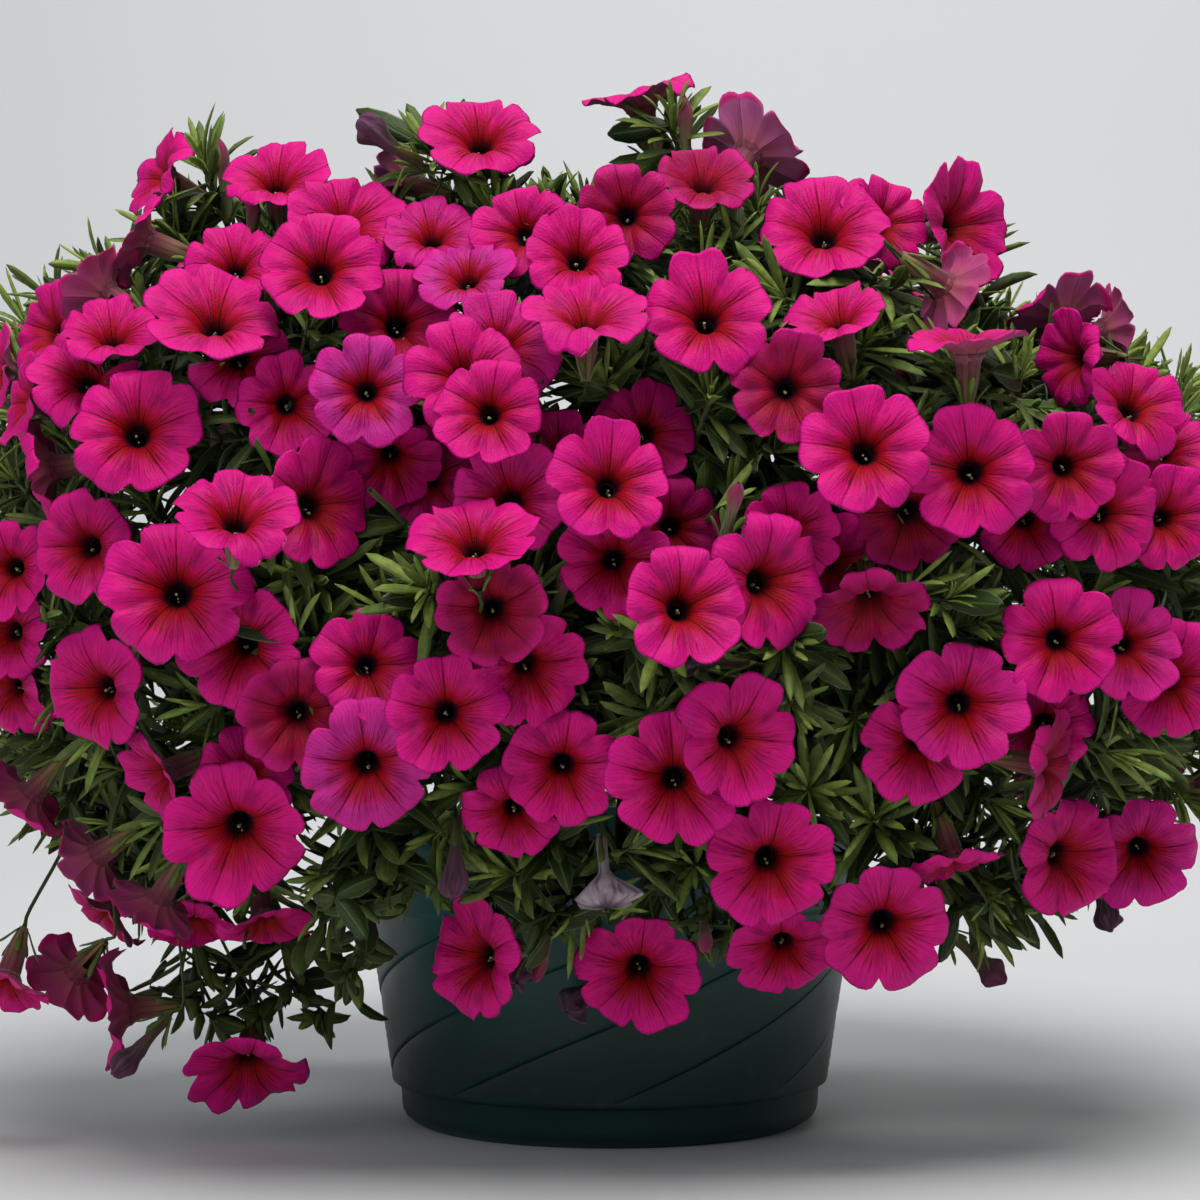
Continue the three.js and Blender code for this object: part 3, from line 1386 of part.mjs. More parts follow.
const BAND_ROUNDING = 1.5;
const BAND_ROUNDING_TOP = 4;
const BAND_DRAFT = 0.5;
const LIP_BOTTOM = POT_HEIGHT - 4;
const FLUTE_ROWS = 9;
const DRAIN_SIDES = 6;
function potSolid() {
  const start = POT_BAND_TOP + 2;
  const flutes = Array.from({ length: FLUTE_ROWS + 1 }, (_, i) => {
    const z = start + (POT_FLUTE_TOP - start) * i / FLUTE_ROWS;
    return [wallRadius(z), z];
  });
  const band = POT_FLUTE_TOP + 3;
  const outside = [
    [0, 0], [POT_FOOT_RADIUS, 0], [POT_BAND_RADIUS - BAND_ROUNDING, BAND_ROUNDING_TOP],
    [POT_BAND_RADIUS, POT_BAND_BOTTOM], [POT_BAND_RADIUS + BAND_DRAFT, POT_BAND_TOP], ...flutes,
    [wallRadius(band) + POT_RIM_BAND, band],
    [wallRadius(LIP_BOTTOM - 1) + POT_RIM_BAND, LIP_BOTTOM - 1],
    [wallRadius(POT_HEIGHT) + POT_LIP, LIP_BOTTOM], [wallRadius(POT_HEIGHT) + POT_LIP, POT_HEIGHT],
    [0, POT_HEIGHT],
  ];
  const columnsPerFlute = POT_COLUMNS / FLUTES;
  const dent = (i, z) => {
    const row = Math.round(FLUTE_ROWS * (z - start) / (POT_FLUTE_TOP - start));
    const inside = row > 0 && row < FLUTE_ROWS && z < POT_FLUTE_TOP && z > start;
    return inside && (i - row + POT_COLUMNS) % columnsPerFlute === 0 ? FLUTE_DEPTH : 0;
  };
  const shell = turned(outside, POT_COLUMNS, dent);
  const inside = [...potInside(0, POT_HEIGHT - 3),
    [wallRadius(POT_HEIGHT) - POT_WALL, POT_HEIGHT + 2], [0, POT_HEIGHT + 2]];
  let pot = shell.subtract(turned(inside, INNER_COLUMNS));
  for (let i = 0; i < DRAIN_HOLES; i++) {
    const angle = (i + 0.5) * 2 * Math.PI / DRAIN_HOLES;
    const centre = new THREE.Vector3(DRAIN_CIRCLE * Math.cos(angle), DRAIN_CIRCLE * Math.sin(angle), -2);
    pot = pot.subtract(rod([centre, along(centre, UP, 8)], DRAIN_RADIUS, DRAIN_RADIUS, DRAIN_SIDES));
  }
  return largestPiece(pot);
}

const SOIL_MOUND = 4;
const SOIL_LEVEL_RADIUS = 85;
const HOLE_SIDES = 6;
const HOLE_ROOM = 1.05;
const OPEN_END = 10;
function soilSolid(stems) {
  const profile = [
    ...potInside(SOIL_GAP, SOIL_TOP - SOIL_MOUND), [SOIL_LEVEL_RADIUS, SOIL_TOP], [0, SOIL_TOP]];
  let soil = turned(profile, INNER_COLUMNS);
  for (const stem of stems) {
    const seat = growthPoint(stem.place, 0);
    const bottom = new THREE.Vector3(seat.x, seat.y, SOIL_TOP - STEM_SEAT);
    const radius = STEM_RADIUS + HOLE_ROOM;
    soil = soil.subtract(rod([bottom, along(bottom, UP, STEM_SEAT + OPEN_END)], radius, radius, HOLE_SIDES));
  }
  return largestPiece(soil);
}

const plantBlooms = makeBlooms();
const stems = planPlant(plantBlooms);
makePlant(stems);
const plant = new THREE.Group();
const two = (n) => String(n + 1).padStart(2, '0');
plant.add(meshFrom(potSolid(), potMaterial, 'pot'));
plant.add(meshFrom(soilSolid(stems), soilMaterial, 'soil'));
for (const stem of stems) {
  plant.add(meshFrom(stem.solid, leafMaterial, `leafy_stem_${two(stem.index)}`));
  for (const spray of stem.sprays) {
    plant.add(meshFrom(spray.solid, petalMaterial, `flower_spray_${two(spray.index)}`));
  }
}
export default plant;
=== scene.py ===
import json
import math

import bpy
import numpy as np
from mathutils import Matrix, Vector, noise

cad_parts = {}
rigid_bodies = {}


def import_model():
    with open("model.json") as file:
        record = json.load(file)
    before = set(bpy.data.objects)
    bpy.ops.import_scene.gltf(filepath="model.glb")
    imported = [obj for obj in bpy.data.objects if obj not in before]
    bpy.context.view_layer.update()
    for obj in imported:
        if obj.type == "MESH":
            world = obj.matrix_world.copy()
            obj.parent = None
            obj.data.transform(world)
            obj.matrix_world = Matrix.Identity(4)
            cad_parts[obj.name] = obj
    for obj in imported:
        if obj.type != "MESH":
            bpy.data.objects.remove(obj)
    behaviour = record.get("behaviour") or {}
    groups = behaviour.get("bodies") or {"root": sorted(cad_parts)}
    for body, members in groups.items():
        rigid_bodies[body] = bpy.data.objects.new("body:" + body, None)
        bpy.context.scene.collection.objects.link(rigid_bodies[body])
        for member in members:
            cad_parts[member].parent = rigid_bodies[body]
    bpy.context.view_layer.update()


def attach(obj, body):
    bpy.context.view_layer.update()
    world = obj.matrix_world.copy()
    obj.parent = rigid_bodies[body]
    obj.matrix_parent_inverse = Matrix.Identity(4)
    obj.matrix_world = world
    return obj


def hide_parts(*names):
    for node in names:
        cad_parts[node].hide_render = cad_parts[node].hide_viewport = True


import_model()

MM = 0.001

# Camera, first because the rest is seen through it: the eye point and tilt are those of the front view
EYE = np.array([-5.1, -2300.0, 350.0])
EYE_TILT = math.radians(2.08)
VIEW_SCALE = 4501.0
VIEW_MIDDLE = 600.0
SENSOR = 36.0

camera_data = bpy.data.cameras.new("camera")
camera_data.sensor_width = SENSOR
camera_data.lens = VIEW_SCALE / (2 * VIEW_MIDDLE) * SENSOR
camera = bpy.data.objects.new("camera", camera_data)
camera.location = Vector(EYE * MM)
camera.rotation_euler = (math.pi / 2 - EYE_TILT, 0, 0)
bpy.context.scene.collection.objects.link(camera)
bpy.context.scene.camera = camera

# Plant outline, in millimetres as in the solids
DOME_CENTRE = 300.0
DOME_TOP = 532.0
DOME_BOTTOM = 60.0
DOME_LEFT = 340.0
DOME_RIGHT = 335.0
DOME_DEPTH = 300.0
DOME_POWER = 2.5
DOME_SLOPE = 0.2
DOME_SLOPE_START = 50.0
LAYER = 12.0
POT_HEIGHT = 150.0
SOIL_TOP = 137.0

# Bloom proportions
MOUTH = 0.19
TUBE_SHOULDER = 9.0
TUBE_RADIUS = 6.6
TUBE_LENGTH = 30.0
MIN_BLOOM = 24.0
MAX_BLOOM = 35.0
STEMS = 12
SPRAYS = 44

# Blooms in the front view: x, y and radius in the view, then yaw and pitch of the face in degrees,
# and how many layers it stands out towards the front
BLOOMS_UPPER_LEFT = [
    [480, 138, 62, 0, 46, 0], [276, 181, 55, 0, 50, 0], [160, 175, 45, -68, 28, 0],
    [345, 222, 62, 15, 40, -1], [320, 268, 65, 0, 22, 1], [214, 318, 72, 0, 48, 1],
    [398, 324, 60, 10, 15, -1], [366, 390, 58, 0, 8, 0], [136, 430, 69, 0, 20, 1],
    [236, 516, 66, 8, 48, 1], [316, 505, 68, 35, 5, -1], [85, 547, 58, -22, 0, 0.5],
    [176, 592, 76, 0, 10, 1], [240, 645, 68, -15, -5, 0], [98, 690, 64, -35, -5, 0],
    [488, 411, 58, -5, 15, 1], [465, 375, 60, 0, 25, 0], [502, 344, 62, 15, 30, -1],
    [466, 276, 52, -15, 45, 0], [522, 232, 40, -15, 20, -1], [577, 256, 55, 0, 30, 0],
    [586, 318, 66, 0, 62, 1], [432, 235, 45, 0, 50, -2], [395, 180, 42, -110, 15, -2],
    [28, 400, 50, -65, 15, 0], [4, 372, 45, -70, 10, -1], [85, 377, 58, -10, 35, 0],
    [112, 335, 55, 0, 55, 0], [50, 330, 45, -50, 20, -1], [100, 290, 50, -110, 30, -2],
    [140, 238, 50, -95, 20, -1], [45, 470, 55, -100, -10, -1], [10, 568, 45, -20, 0, 0],
    [238, 356, 55, 0, 15, -1], [235, 265, 45, 0, 40, -2], [288, 405, 45, 10, 0, -2],
    [392, 460, 40, 10, -30, -2], [428, 478, 50, 0, 0, -2.6], [510, 499, 62, -5, 10, 0],
    [474, 540, 68, -5, 50, 1], [560, 460, 45, 0, 0, -2],
]
BLOOMS_UPPER_RIGHT = [
    [640, 100, 57, -110, 75, 0], [752, 150, 58, 145, 35, -1], [704, 182, 46, 10, 55, 0],
    [626, 214, 44, -5, 10, 0], [824, 230, 70, 0, 38, 1], [882, 222, 40, 30, 20, -1],
    [706, 316, 66, 0, 25, 1], [958, 225, 70, 50, 10, 0], [950, 290, 40, 120, -30, -1],
    [1060, 312, 48, -150, 40, -1], [1110, 332, 45, 105, 5, -1], [968, 342, 64, 0, 82, 0],
    [1072, 358, 42, -60, 0, -1], [1134, 405, 58, 25, 35, 0], [1165, 447, 55, 15, 30, -1],
    [838, 318, 42, -25, 60, -1], [786, 388, 58, 0, 5, 0], [865, 449, 68, 0, 15, 1],
    [971, 471, 68, 0, 5, 1.5], [1067, 466, 58, 12, 0, 1], [1105, 512, 60, 20, 5, 0],
    [1168, 518, 56, 25, 0, 1], [908, 514, 60, 0, -15, -1], [1025, 522, 50, 0, -10, -2],
    [610, 482, 63, 8, 20, 1], [614, 560, 60, 0, 0, 0], [683, 606, 66, 15, 15, 1],
    [766, 582, 70, 32, 0, 0.5], [790, 532, 50, 10, 0, -1], [830, 562, 45, 10, -10, -2],
    [645, 432, 50, 10, 10, -2], [672, 528, 42, 10, 0, -2],
]
BLOOMS_LOWER_LEFT = [
    [492, 610, 58, 0, -5, 0.5], [530, 668, 62, 20, -15, -0.5], [446, 713, 62, 0, 0, 0.5],
    [367, 665, 58, 5, 5, -0.5], [297, 714, 60, 0, -5, 0], [366, 767, 69, 0, -12, 1],
    [238, 830, 74, 0, -15, 1], [562, 767, 62, 0, -8, 0.5], [512, 812, 52, -5, -20, -1],
    [478, 958, 66, -45, 0, 0], [247, 1068, 64, 0, -48, 0], [72, 978, 48, -130, -40, -1],
    [120, 1010, 60, -85, -5, 0], [5, 985, 45, -30, -60, -1], [25, 800, 52, -110, -45, -1],
    [92, 858, 50, -120, -30, -2], [155, 905, 48, -120, -55, -1], [195, 925, 45, 0, -60, -3],
    [265, 925, 50, 20, -60, -3], [160, 775, 45, -60, -20, -1], [245, 775, 50, 0, 0, -2],
    [8, 632, 48, -30, 0, -1], [10, 688, 42, -40, -10, -2], [105, 915, 42, -60, -50, -2],
]
BLOOMS_LOWER_RIGHT = [
    [674, 779, 70, 0, 0, 1], [737, 739, 67, 30, -5, 1], [771, 862, 69, 12, -10, 1],
    [884, 926, 69, 4, -10, 1], [783, 948, 56, 0, -25, -0.5], [638, 972, 66, -3, -15, 0],
    [960, 704, 68, 0, -2, 1], [918, 745, 62, -5, -15, -0.5], [870, 605, 62, 5, -50, 0],
    [1060, 640, 64, 5, 0, 1], [1128, 645, 58, 20, 0, -0.5], [1172, 680, 62, 15, -5, 0.5],
    [1050, 765, 58, 70, -5, -1], [1045, 725, 45, 0, -10, -2], [1066, 857, 66, 38, -8, 0],
    [1141, 852, 58, 5, -15, 0.5], [955, 865, 48, 60, -70, -1],
]
FRONT_BLOOMS = BLOOMS_UPPER_LEFT + BLOOMS_UPPER_RIGHT + BLOOMS_LOWER_LEFT + BLOOMS_LOWER_RIGHT

# Withered blooms and buds in the view: x and y of the mouth, yaw and pitch of the way it points,
# its radius and how far its tip stands out beyond it, in millimetres
WITHERED = [
    [372, 130, -70, 35, 6, 7], [455, 882, 0, -70, 6, 7], [606, 898, 12, -68, 13, 4],
    [517, 975, 0, -25, 6, 5], [572, 1005, -60, -40, 9, 4], [992, 970, 70, -38, 5.5, 8],
    [126, 1062, -70, -45, 6, 8], [1108, 918, 20, -60, 6, 6], [686, 660, -70, 3, 6.5, 7],
    [1178, 427, 70, 15, 6, 7],
]
BUDS = [
    [222, 160, -10, 70, 3.4, 9], [253, 215, 10, 50, 3.4, 9], [685, 118, -10, 75, 3.6, 10],
    [735, 497, 10, 40, 3.6, 9], [705, 940, 0, -30, 3.4, 9], [540, 965, -20, -50, 3.4, 9],
    [565, 580, 10, 30, 3.4, 9],
]

# Rosettes of leaves seen between the blooms: x and y in the view, their number of leaves
ROSETTES = [
    [205, 165, 5], [430, 150, 5], [672, 125, 6], [880, 270, 8], [250, 410, 7], [270, 525, 5],
    [370, 490, 5], [538, 436, 6], [715, 510, 8], [430, 590, 7], [295, 640, 5], [660, 640, 8],
    [1020, 380, 6], [710, 400, 6], [40, 620, 6], [385, 890, 6], [195, 985, 7], [290, 985, 6],
    [550, 930, 6], [705, 945, 6], [950, 900, 7], [785, 640, 6], [945, 600, 6], [1108, 752, 5],
]

# Blooms that stand out in colour: x and y in the view, then 0 for dark red, 0.5 for plain, 1 for pale purple. The dark
# red tones are partly the blooms' own colour and partly painted shade, given to blooms that sit in shade
SHADES = [
    [786, 388, 0.0], [492, 610, 0.0], [297, 714, 0.05], [704, 182, 0.1], [626, 214, 0.1], [908, 514, 0.0],
    [870, 605, 0.1], [1050, 765, 0.1], [614, 560, 0.3], [398, 324, 0.2], [645, 432, 0.2], [672, 528, 0.2],
    [1067, 466, 0.25], [1066, 857, 0.3], [367, 665, 0.3], [85, 547, 0.3], [316, 505, 0.25], [530, 668, 0.3],
    [366, 390, 1.0], [366, 767, 0.9], [466, 276, 0.9], [752, 150, 0.9], [502, 344, 0.75], [510, 499, 0.7],
    [884, 926, 0.65], [960, 704, 0.7], [1128, 645, 0.75], [1141, 852, 0.75], [432, 235, 0.75], [395, 180, 0.8],
]

MASK = 0xFFFFFFFF


def draw(repeat, purpose):
    """A repeatable draw between 0 and 1, the same as the solids use."""
    h = ((((repeat + 1) & MASK) ^ 0x9E3779B9) * 0x85EBCA6B & MASK) ^ ((purpose + 7) * 0xC2B2AE35 & MASK)
    h ^= h >> 15
    h = h * 0x2C1B3C6D & MASK
    h ^= h >> 12
    h = h * 0x297A2D39 & MASK
    h ^= h >> 15
    return h / 4294967296


def spread(repeat, purpose, low, high):
    return low + (high - low) * draw(repeat, purpose)


UP = np.array([0.0, 0.0, 1.0])


def unit(v):
    return v / np.linalg.norm(v)


def facing(yaw, pitch):
    a, b = math.radians(yaw), math.radians(pitch)
    return np.array([math.sin(a) * math.cos(b), -math.cos(a) * math.cos(b), math.sin(b)])


def across(axis):
    flat = np.array([axis[1], -axis[0], 0.0])
    if np.linalg.norm(flat) < 0.05:
        flat = np.array([1.0, 0.0, 0.0])
    side = unit(flat - axis * flat.dot(axis))
    return side, unit(np.cross(side, axis))


def dome_level(p):
    width = DOME_LEFT if p[0] < 0 else DOME_RIGHT
    slope = DOME_SLOPE * max(0.0, p[0] - DOME_SLOPE_START)
    if p[2] > DOME_CENTRE:
        rise = (p[2] - DOME_CENTRE) / (DOME_TOP - DOME_CENTRE - slope)
    else:
        rise = (DOME_CENTRE - p[2]) / (DOME_CENTRE - DOME_BOTTOM)
    return abs(p[0] / width) ** DOME_POWER + abs(p[1] / DOME_DEPTH) ** DOME_POWER + abs(rise) ** DOME_POWER


def dome_point(direction):
    centre = np.array([0.0, 0.0, DOME_CENTRE])
    near, far = 0.0, 700.0
    for _ in range(24):
        middle = (near + far) / 2
        if dome_level(centre + direction * middle) < 1:
            near = middle
        else:
            far = middle
    return centre + direction * near


def dome_normal(p):
    h = 0.5
    steps = [np.array(a) * h for a in ((1.0, 0, 0), (0, 1.0, 0), (0, 0, 1.0))]
    return unit(np.array([dome_level(p + s) - dome_level(p - s) for s in steps]))


def seen_point(x, y):
    side, drop = (x - VIEW_MIDDLE) / VIEW_SCALE, (y - VIEW_MIDDLE) / VIEW_SCALE
    c, s = math.cos(EYE_TILT), math.sin(EYE_TILT)
    ray = np.array([side, c - drop * s, -s - drop * c])
    best, lowest = None, math.inf
    for depth in range(1900, 2400, 4):
        p = EYE + ray * depth
        level = dome_level(p)
        if level < lowest:
            best, lowest = p, level
        if level < 1:
            break
    return best


def front_bloom(row):
    x, y, r, yaw, pitch, layer = row
    seen = seen_point(x, y)
    view = unit(EYE - seen)
    centre = seen + view * layer * LAYER
    radius = min(max(r * (centre[1] - EYE[1]) / VIEW_SCALE, MIN_BLOOM), MAX_BLOOM)
    return {"centre": centre, "normal": facing(yaw, pitch), "radius": radius, "view": view, "front": True}


# Blooms on the sides and back, set out on a spiral over the outline, wherever there is room
SPIRAL_POINTS = 420
GOLDEN_TURN = math.pi * (3 - math.sqrt(5))
BACK_SPACING = 88.0


# Skyline of the plant from the front: x, and the height that the blooms at the back keep under
SKYLINE = [[-400, 340], [-245, 424], [-210, 446], [150, 444], [200, 385], [265, 370], [400, 280]]
BACK_SLOPE = 0.15


def back_top(p):
    return np.interp(p[0], *np.transpose(SKYLINE)) - BACK_SLOPE * max(0.0, p[1])


def back_blooms(placed):
    found = []
    for i in range(SPIRAL_POINTS):
        height = 1 - 1.72 * (i + 0.5) / SPIRAL_POINTS
        flat = math.sqrt(1 - height * height)
        turn = i * GOLDEN_TURN
        p = dome_point(np.array([flat * math.cos(turn), flat * math.sin(turn), height]))
        normal = dome_normal(p)
        x = VIEW_MIDDLE + VIEW_SCALE * (p[0] - EYE[0]) / (p[1] - EYE[1])
        in_view = 8 < x < 2 * VIEW_MIDDLE - 8
        if p[2] < 165 or (in_view and normal.dot(unit(EYE - p)) > -0.05):
            continue
        centre = p + normal * spread(i, 2, -16, -2)
        centre[2] = min(centre[2], back_top(centre))
        if all(np.linalg.norm(b["centre"] - centre) > BACK_SPACING for b in placed + found):
            lean = np.array([spread(i, 3, -0.3, 0.3), spread(i, 4, -0.3, 0.3), spread(i, 5, 0, 0.5)])
            found.append({"centre": centre, "normal": unit(normal + lean), "radius": spread(i, 1, 28, 33),
                          "view": normal, "front": False})
    return found


def flare(bloom, distance):
    t = (distance - MOUTH * bloom["radius"]) / (bloom["radius"] * (1 - MOUTH))
    return bloom["cup"] * bloom["radius"] * np.maximum(0, t)


def face_points(bloom):
    side, over = across(bloom["normal"])
    i = np.arange(15)
    reach = np.where(i % 3 == 0, 0.55, 1.0) * bloom["radius"]
    angle = i * 2 * math.pi / 15
    points = (bloom["centre"] + np.outer(reach * np.cos(angle), side) + np.outer(reach * np.sin(angle), over)
              + np.outer(flare(bloom, reach), bloom["normal"]))
    return np.vstack([bloom["centre"], points])


def needed(points, bloom, direction, sign):
    tilt = bloom["normal"].dot(direction)
    if abs(tilt) < 0.3:
        return 0.0
    q = points - bloom["centre"]
    a = q @ bloom["normal"]
    distance = np.linalg.norm(q - np.outer(a, bloom["normal"]), axis=1)
    gap = (a - flare(bloom, distance)) * np.sign(tilt) * sign
    move = (2.2 - gap) / abs(tilt)
    inside = distance < bloom["radius"] + 1
    return max(0.0, move[inside].max()) if inside.any() else 0.0


def settle(blooms):
    start = [b["centre"].copy() for b in blooms]
    pairs = []
    for i, a in enumerate(blooms):
        for j in range(i + 1, len(blooms)):
            b = blooms[j]
            if np.linalg.norm(a["centre"] - b["centre"]) < a["radius"] + b["radius"] + 24:
                view = unit(a["view"] + b["view"])
                ahead = (a["centre"] - b["centre"]).dot(view) > 0
                pairs.append((i if ahead else j, j if ahead else i, view))
    for _ in range(30):
        points = [face_points(b) for b in blooms]
        moves = [np.zeros(3) for _ in blooms]
        for f, b, view in pairs:
            push = min(5.0, max(needed(points[f], blooms[b], view, 1), needed(points[b], blooms[f], view, -1)))
            moves[f] += view * push * 0.35
            moves[b] -= view * push * 0.35
        for i, bloom in enumerate(blooms):
            view = bloom["view"]
            shift = (bloom["centre"] - start[i]).dot(view) + moves[i].dot(view)
            bloom["centre"] = start[i] + view * min(max(shift, -24.0), 24.0)
            room = math.hypot(bloom["centre"][0], bloom["centre"][1]) - 172
            if bloom["centre"][2] < POT_HEIGHT + bloom["radius"] and room < 0:
                bloom["centre"] = bloom["centre"] - view * room


def make_blooms():
    front = [front_bloom(row) for row in FRONT_BLOOMS]
    blooms = front + back_blooms(front)
    for i, bloom in enumerate(blooms):
        bloom.update(cup=spread(i, 11, 0.1, 0.22), spin=draw(i, 12), index=i, kind="open", tube=TUBE_RADIUS)
        bloom["shade"] = spread(i, 110, 0.36, 0.64)
    for x, y, shade in SHADES:
        nearest = min(range(len(FRONT_BLOOMS)), key=lambda k: math.dist(FRONT_BLOOMS[k][:2], (x, y)))
        blooms[nearest]["shade"] = shade
    settle(blooms)
    return blooms


SKIRT_ANGLE = math.radians(125)


def plan_place(p):
    flat = math.hypot(p[0], p[1])
    reach = min(1.05, math.atan2(flat, p[2] - DOME_CENTRE) / SKIRT_ANGLE)
    return np.array([reach * p[0] / flat, reach * p[1] / flat])


def growth_point(place, t):
    reach = math.hypot(place[0], place[1])
    angle = reach * SKIRT_ANGLE
    turn = math.atan2(place[1], place[0])
    direction = np.array([math.sin(angle) * math.cos(turn), math.sin(angle) * math.sin(turn), math.cos(angle)])
    low = np.array([place[0] * 84, place[1] * 84, SOIL_TOP])
    bend = np.array([place[0] * 160, place[1] * 160, 335 - 80 * reach])
    return low * (1 - t) ** 2 + bend * 2 * t * (1 - t) + dome_point(direction) * t ** 2


def half_up(x):
    return math.floor(x + 0.5)


def part_into(items, groups):
    if groups == 1:
        return [items]
    places = np.array([i["place"] for i in items])
    span = places.max(0) - places.min(0)
    key = 0 if span[0] > span[1] else 1
    ordered = sorted(items, key=lambda i: i["place"][key])
    first = groups // 2
    cut = half_up(len(ordered) * first / groups)
    return part_into(ordered[:cut], first) + part_into(ordered[cut:], groups - first)


def middle_place(items):
    return np.mean([i["place"] for i in items], axis=0)


def segment_gap(a, b, c, d):
    u, v, w = b - a, d - c, a - c
    uu, uv, vv, uw, vw = u.dot(u), u.dot(v), v.dot(v), u.dot(w), v.dot(w)
    area = uu * vv - uv * uv
    s = min(max((uv * vw - vv * uw) / area, 0), 1) if area > 1e-9 else 0.0
    t = min(max((uv * s + vw) / vv, 0), 1)
    s = min(max((uv * t - uw) / uu, 0), 1)
    return np.linalg.norm(a + u * s - c - v * t)


def face_room(bloom, a, b):
    if segment_gap(a, b, bloom["centre"], bloom["centre"] + bloom["normal"]) > 2 * MAX_BLOOM:
        return math.inf
    q = a + np.outer(np.arange(9) / 8, b - a) - bloom["centre"]
    height = q @ bloom["normal"]
    distance = np.linalg.norm(q - np.outer(height, bloom["normal"]), axis=1)
    beyond = np.maximum(0, distance - bloom["radius"])
    above = height - flare(bloom, np.minimum(distance, bloom["radius"]))
    return (np.hypot(above, beyond) - 1.5).min()


def closed_bloom(row, index, blooms, members, sprays):
    """A withered bloom or bud stands where it is clear of the open ones, and hangs from the nearest spray."""
    x, y, yaw, pitch, radius, rise = row
    seen = seen_point(x, y)
    view = unit(EYE - seen)
    normal = facing(yaw, pitch)
    shifts = [0, 5, -5, 10, -10, 15, -15, 20, -20, 26, -26]

    def line(shift):
        centre = seen + view * shift
        return [centre + normal * rise, centre, centre - normal * TUBE_LENGTH]

    def room(points):
        least = math.inf
        for a, b in zip(points, points[1:]):
            for m in members:
                if np.linalg.norm(m[0] - a) < 120:
                    least = min(least, segment_gap(a, b, m[0], m[1]) - radius - m[2])
            for bloom in blooms:
                if bloom["kind"] == "open" and np.linalg.norm(bloom["centre"] - a) < 150:
                    least = min(least, face_room(bloom, a, b) - radius)
        return least

    rooms = [room(line(shift)) for shift in shifts]
    clear = next((i for i, r in enumerate(rooms) if r > 2), rooms.index(max(rooms)))
    tip, centre, base = line(shifts[clear])
    near = [s for s in sprays if len(s["items"]) < 6 and np.linalg.norm(s["root"] - base) > 22]
    spray = min(near, key=lambda s: np.linalg.norm(s["root"] - base))
    bloom = {"centre": centre, "normal": normal, "radius": radius, "rise": rise, "index": index, "view": view,
             "kind": "withered" if index < 400 + len(WITHERED) else "bud", "front": True, "cup": 0.0,
             "spin": draw(index, 12), "tube": min(3.2, radius), "spray": spray["index"]}
    spray["items"].append({"bloom": bloom, "base": base})
    members.append((tip, base, radius))
    return bloom


def plan_plant(blooms):
    items = []
    for bloom in blooms:
        base = bloom["centre"] - bloom["normal"] * TUBE_LENGTH
        items.append({"place": plan_place(base), "bloom": bloom, "base": base})
    for i, (x, y, leaves) in enumerate(ROSETTES):
        seen = seen_point(x, y)
        tip = seen - unit(EYE - seen) * 8
        items.append({"place": plan_place(tip), "tip": tip, "leaves": leaves, "index": i})
    stems, sprays, counted = [], [], 0
    for index, group in enumerate(part_into(items, STEMS)):
        flowering = [i for i in group if "bloom" in i]
        before = half_up(counted * SPRAYS / len(blooms))
        counted += len(flowering)
        count = half_up(counted * SPRAYS / len(blooms)) - before
        stem = {"index": index, "place": middle_place(group), "sprays": [],
                "rosettes": [i for i in group if "tip" in i]}
        for members in part_into(flowering, count):
            place = stem["place"] + (middle_place(members) - stem["place"]) * 0.9
            t = 0.9
            while t > 0.6:
                root = growth_point(place, t)
                heading = unit(root - growth_point(place, t - 0.04))
                ahead = [(m["base"] - root).dot(heading) for m in members]
                near = min(np.linalg.norm(m["base"] - root) for m in members)
                if np.mean(ahead) > 15 + 3 * len(members) and near > 15:
                    break
                t -= 0.02
            spray = {"items": members, "place": place, "t": t, "root": root, "heading": heading,
                     "hub": root + heading * 7, "index": len(sprays), "stem": index}
            sprays.append(spray)
            stem["sprays"].append(spray)
        stems.append(stem)
    necks = []
    for spray in sprays:
        for item in spray["items"]:
            b = item["bloom"]
            b["spray"] = spray["index"]
            c, n = b["centre"], b["normal"]
            necks.append((c - n * TUBE_SHOULDER, c - n * 18, TUBE_RADIUS))
            necks.append((c - n * 18, c - n * (TUBE_LENGTH + 1), 4.6))
    for i, row in enumerate(WITHERED + BUDS):
        blooms.append(closed_bloom(row, 400 + i, blooms, necks, sprays))
    return stems, sprays


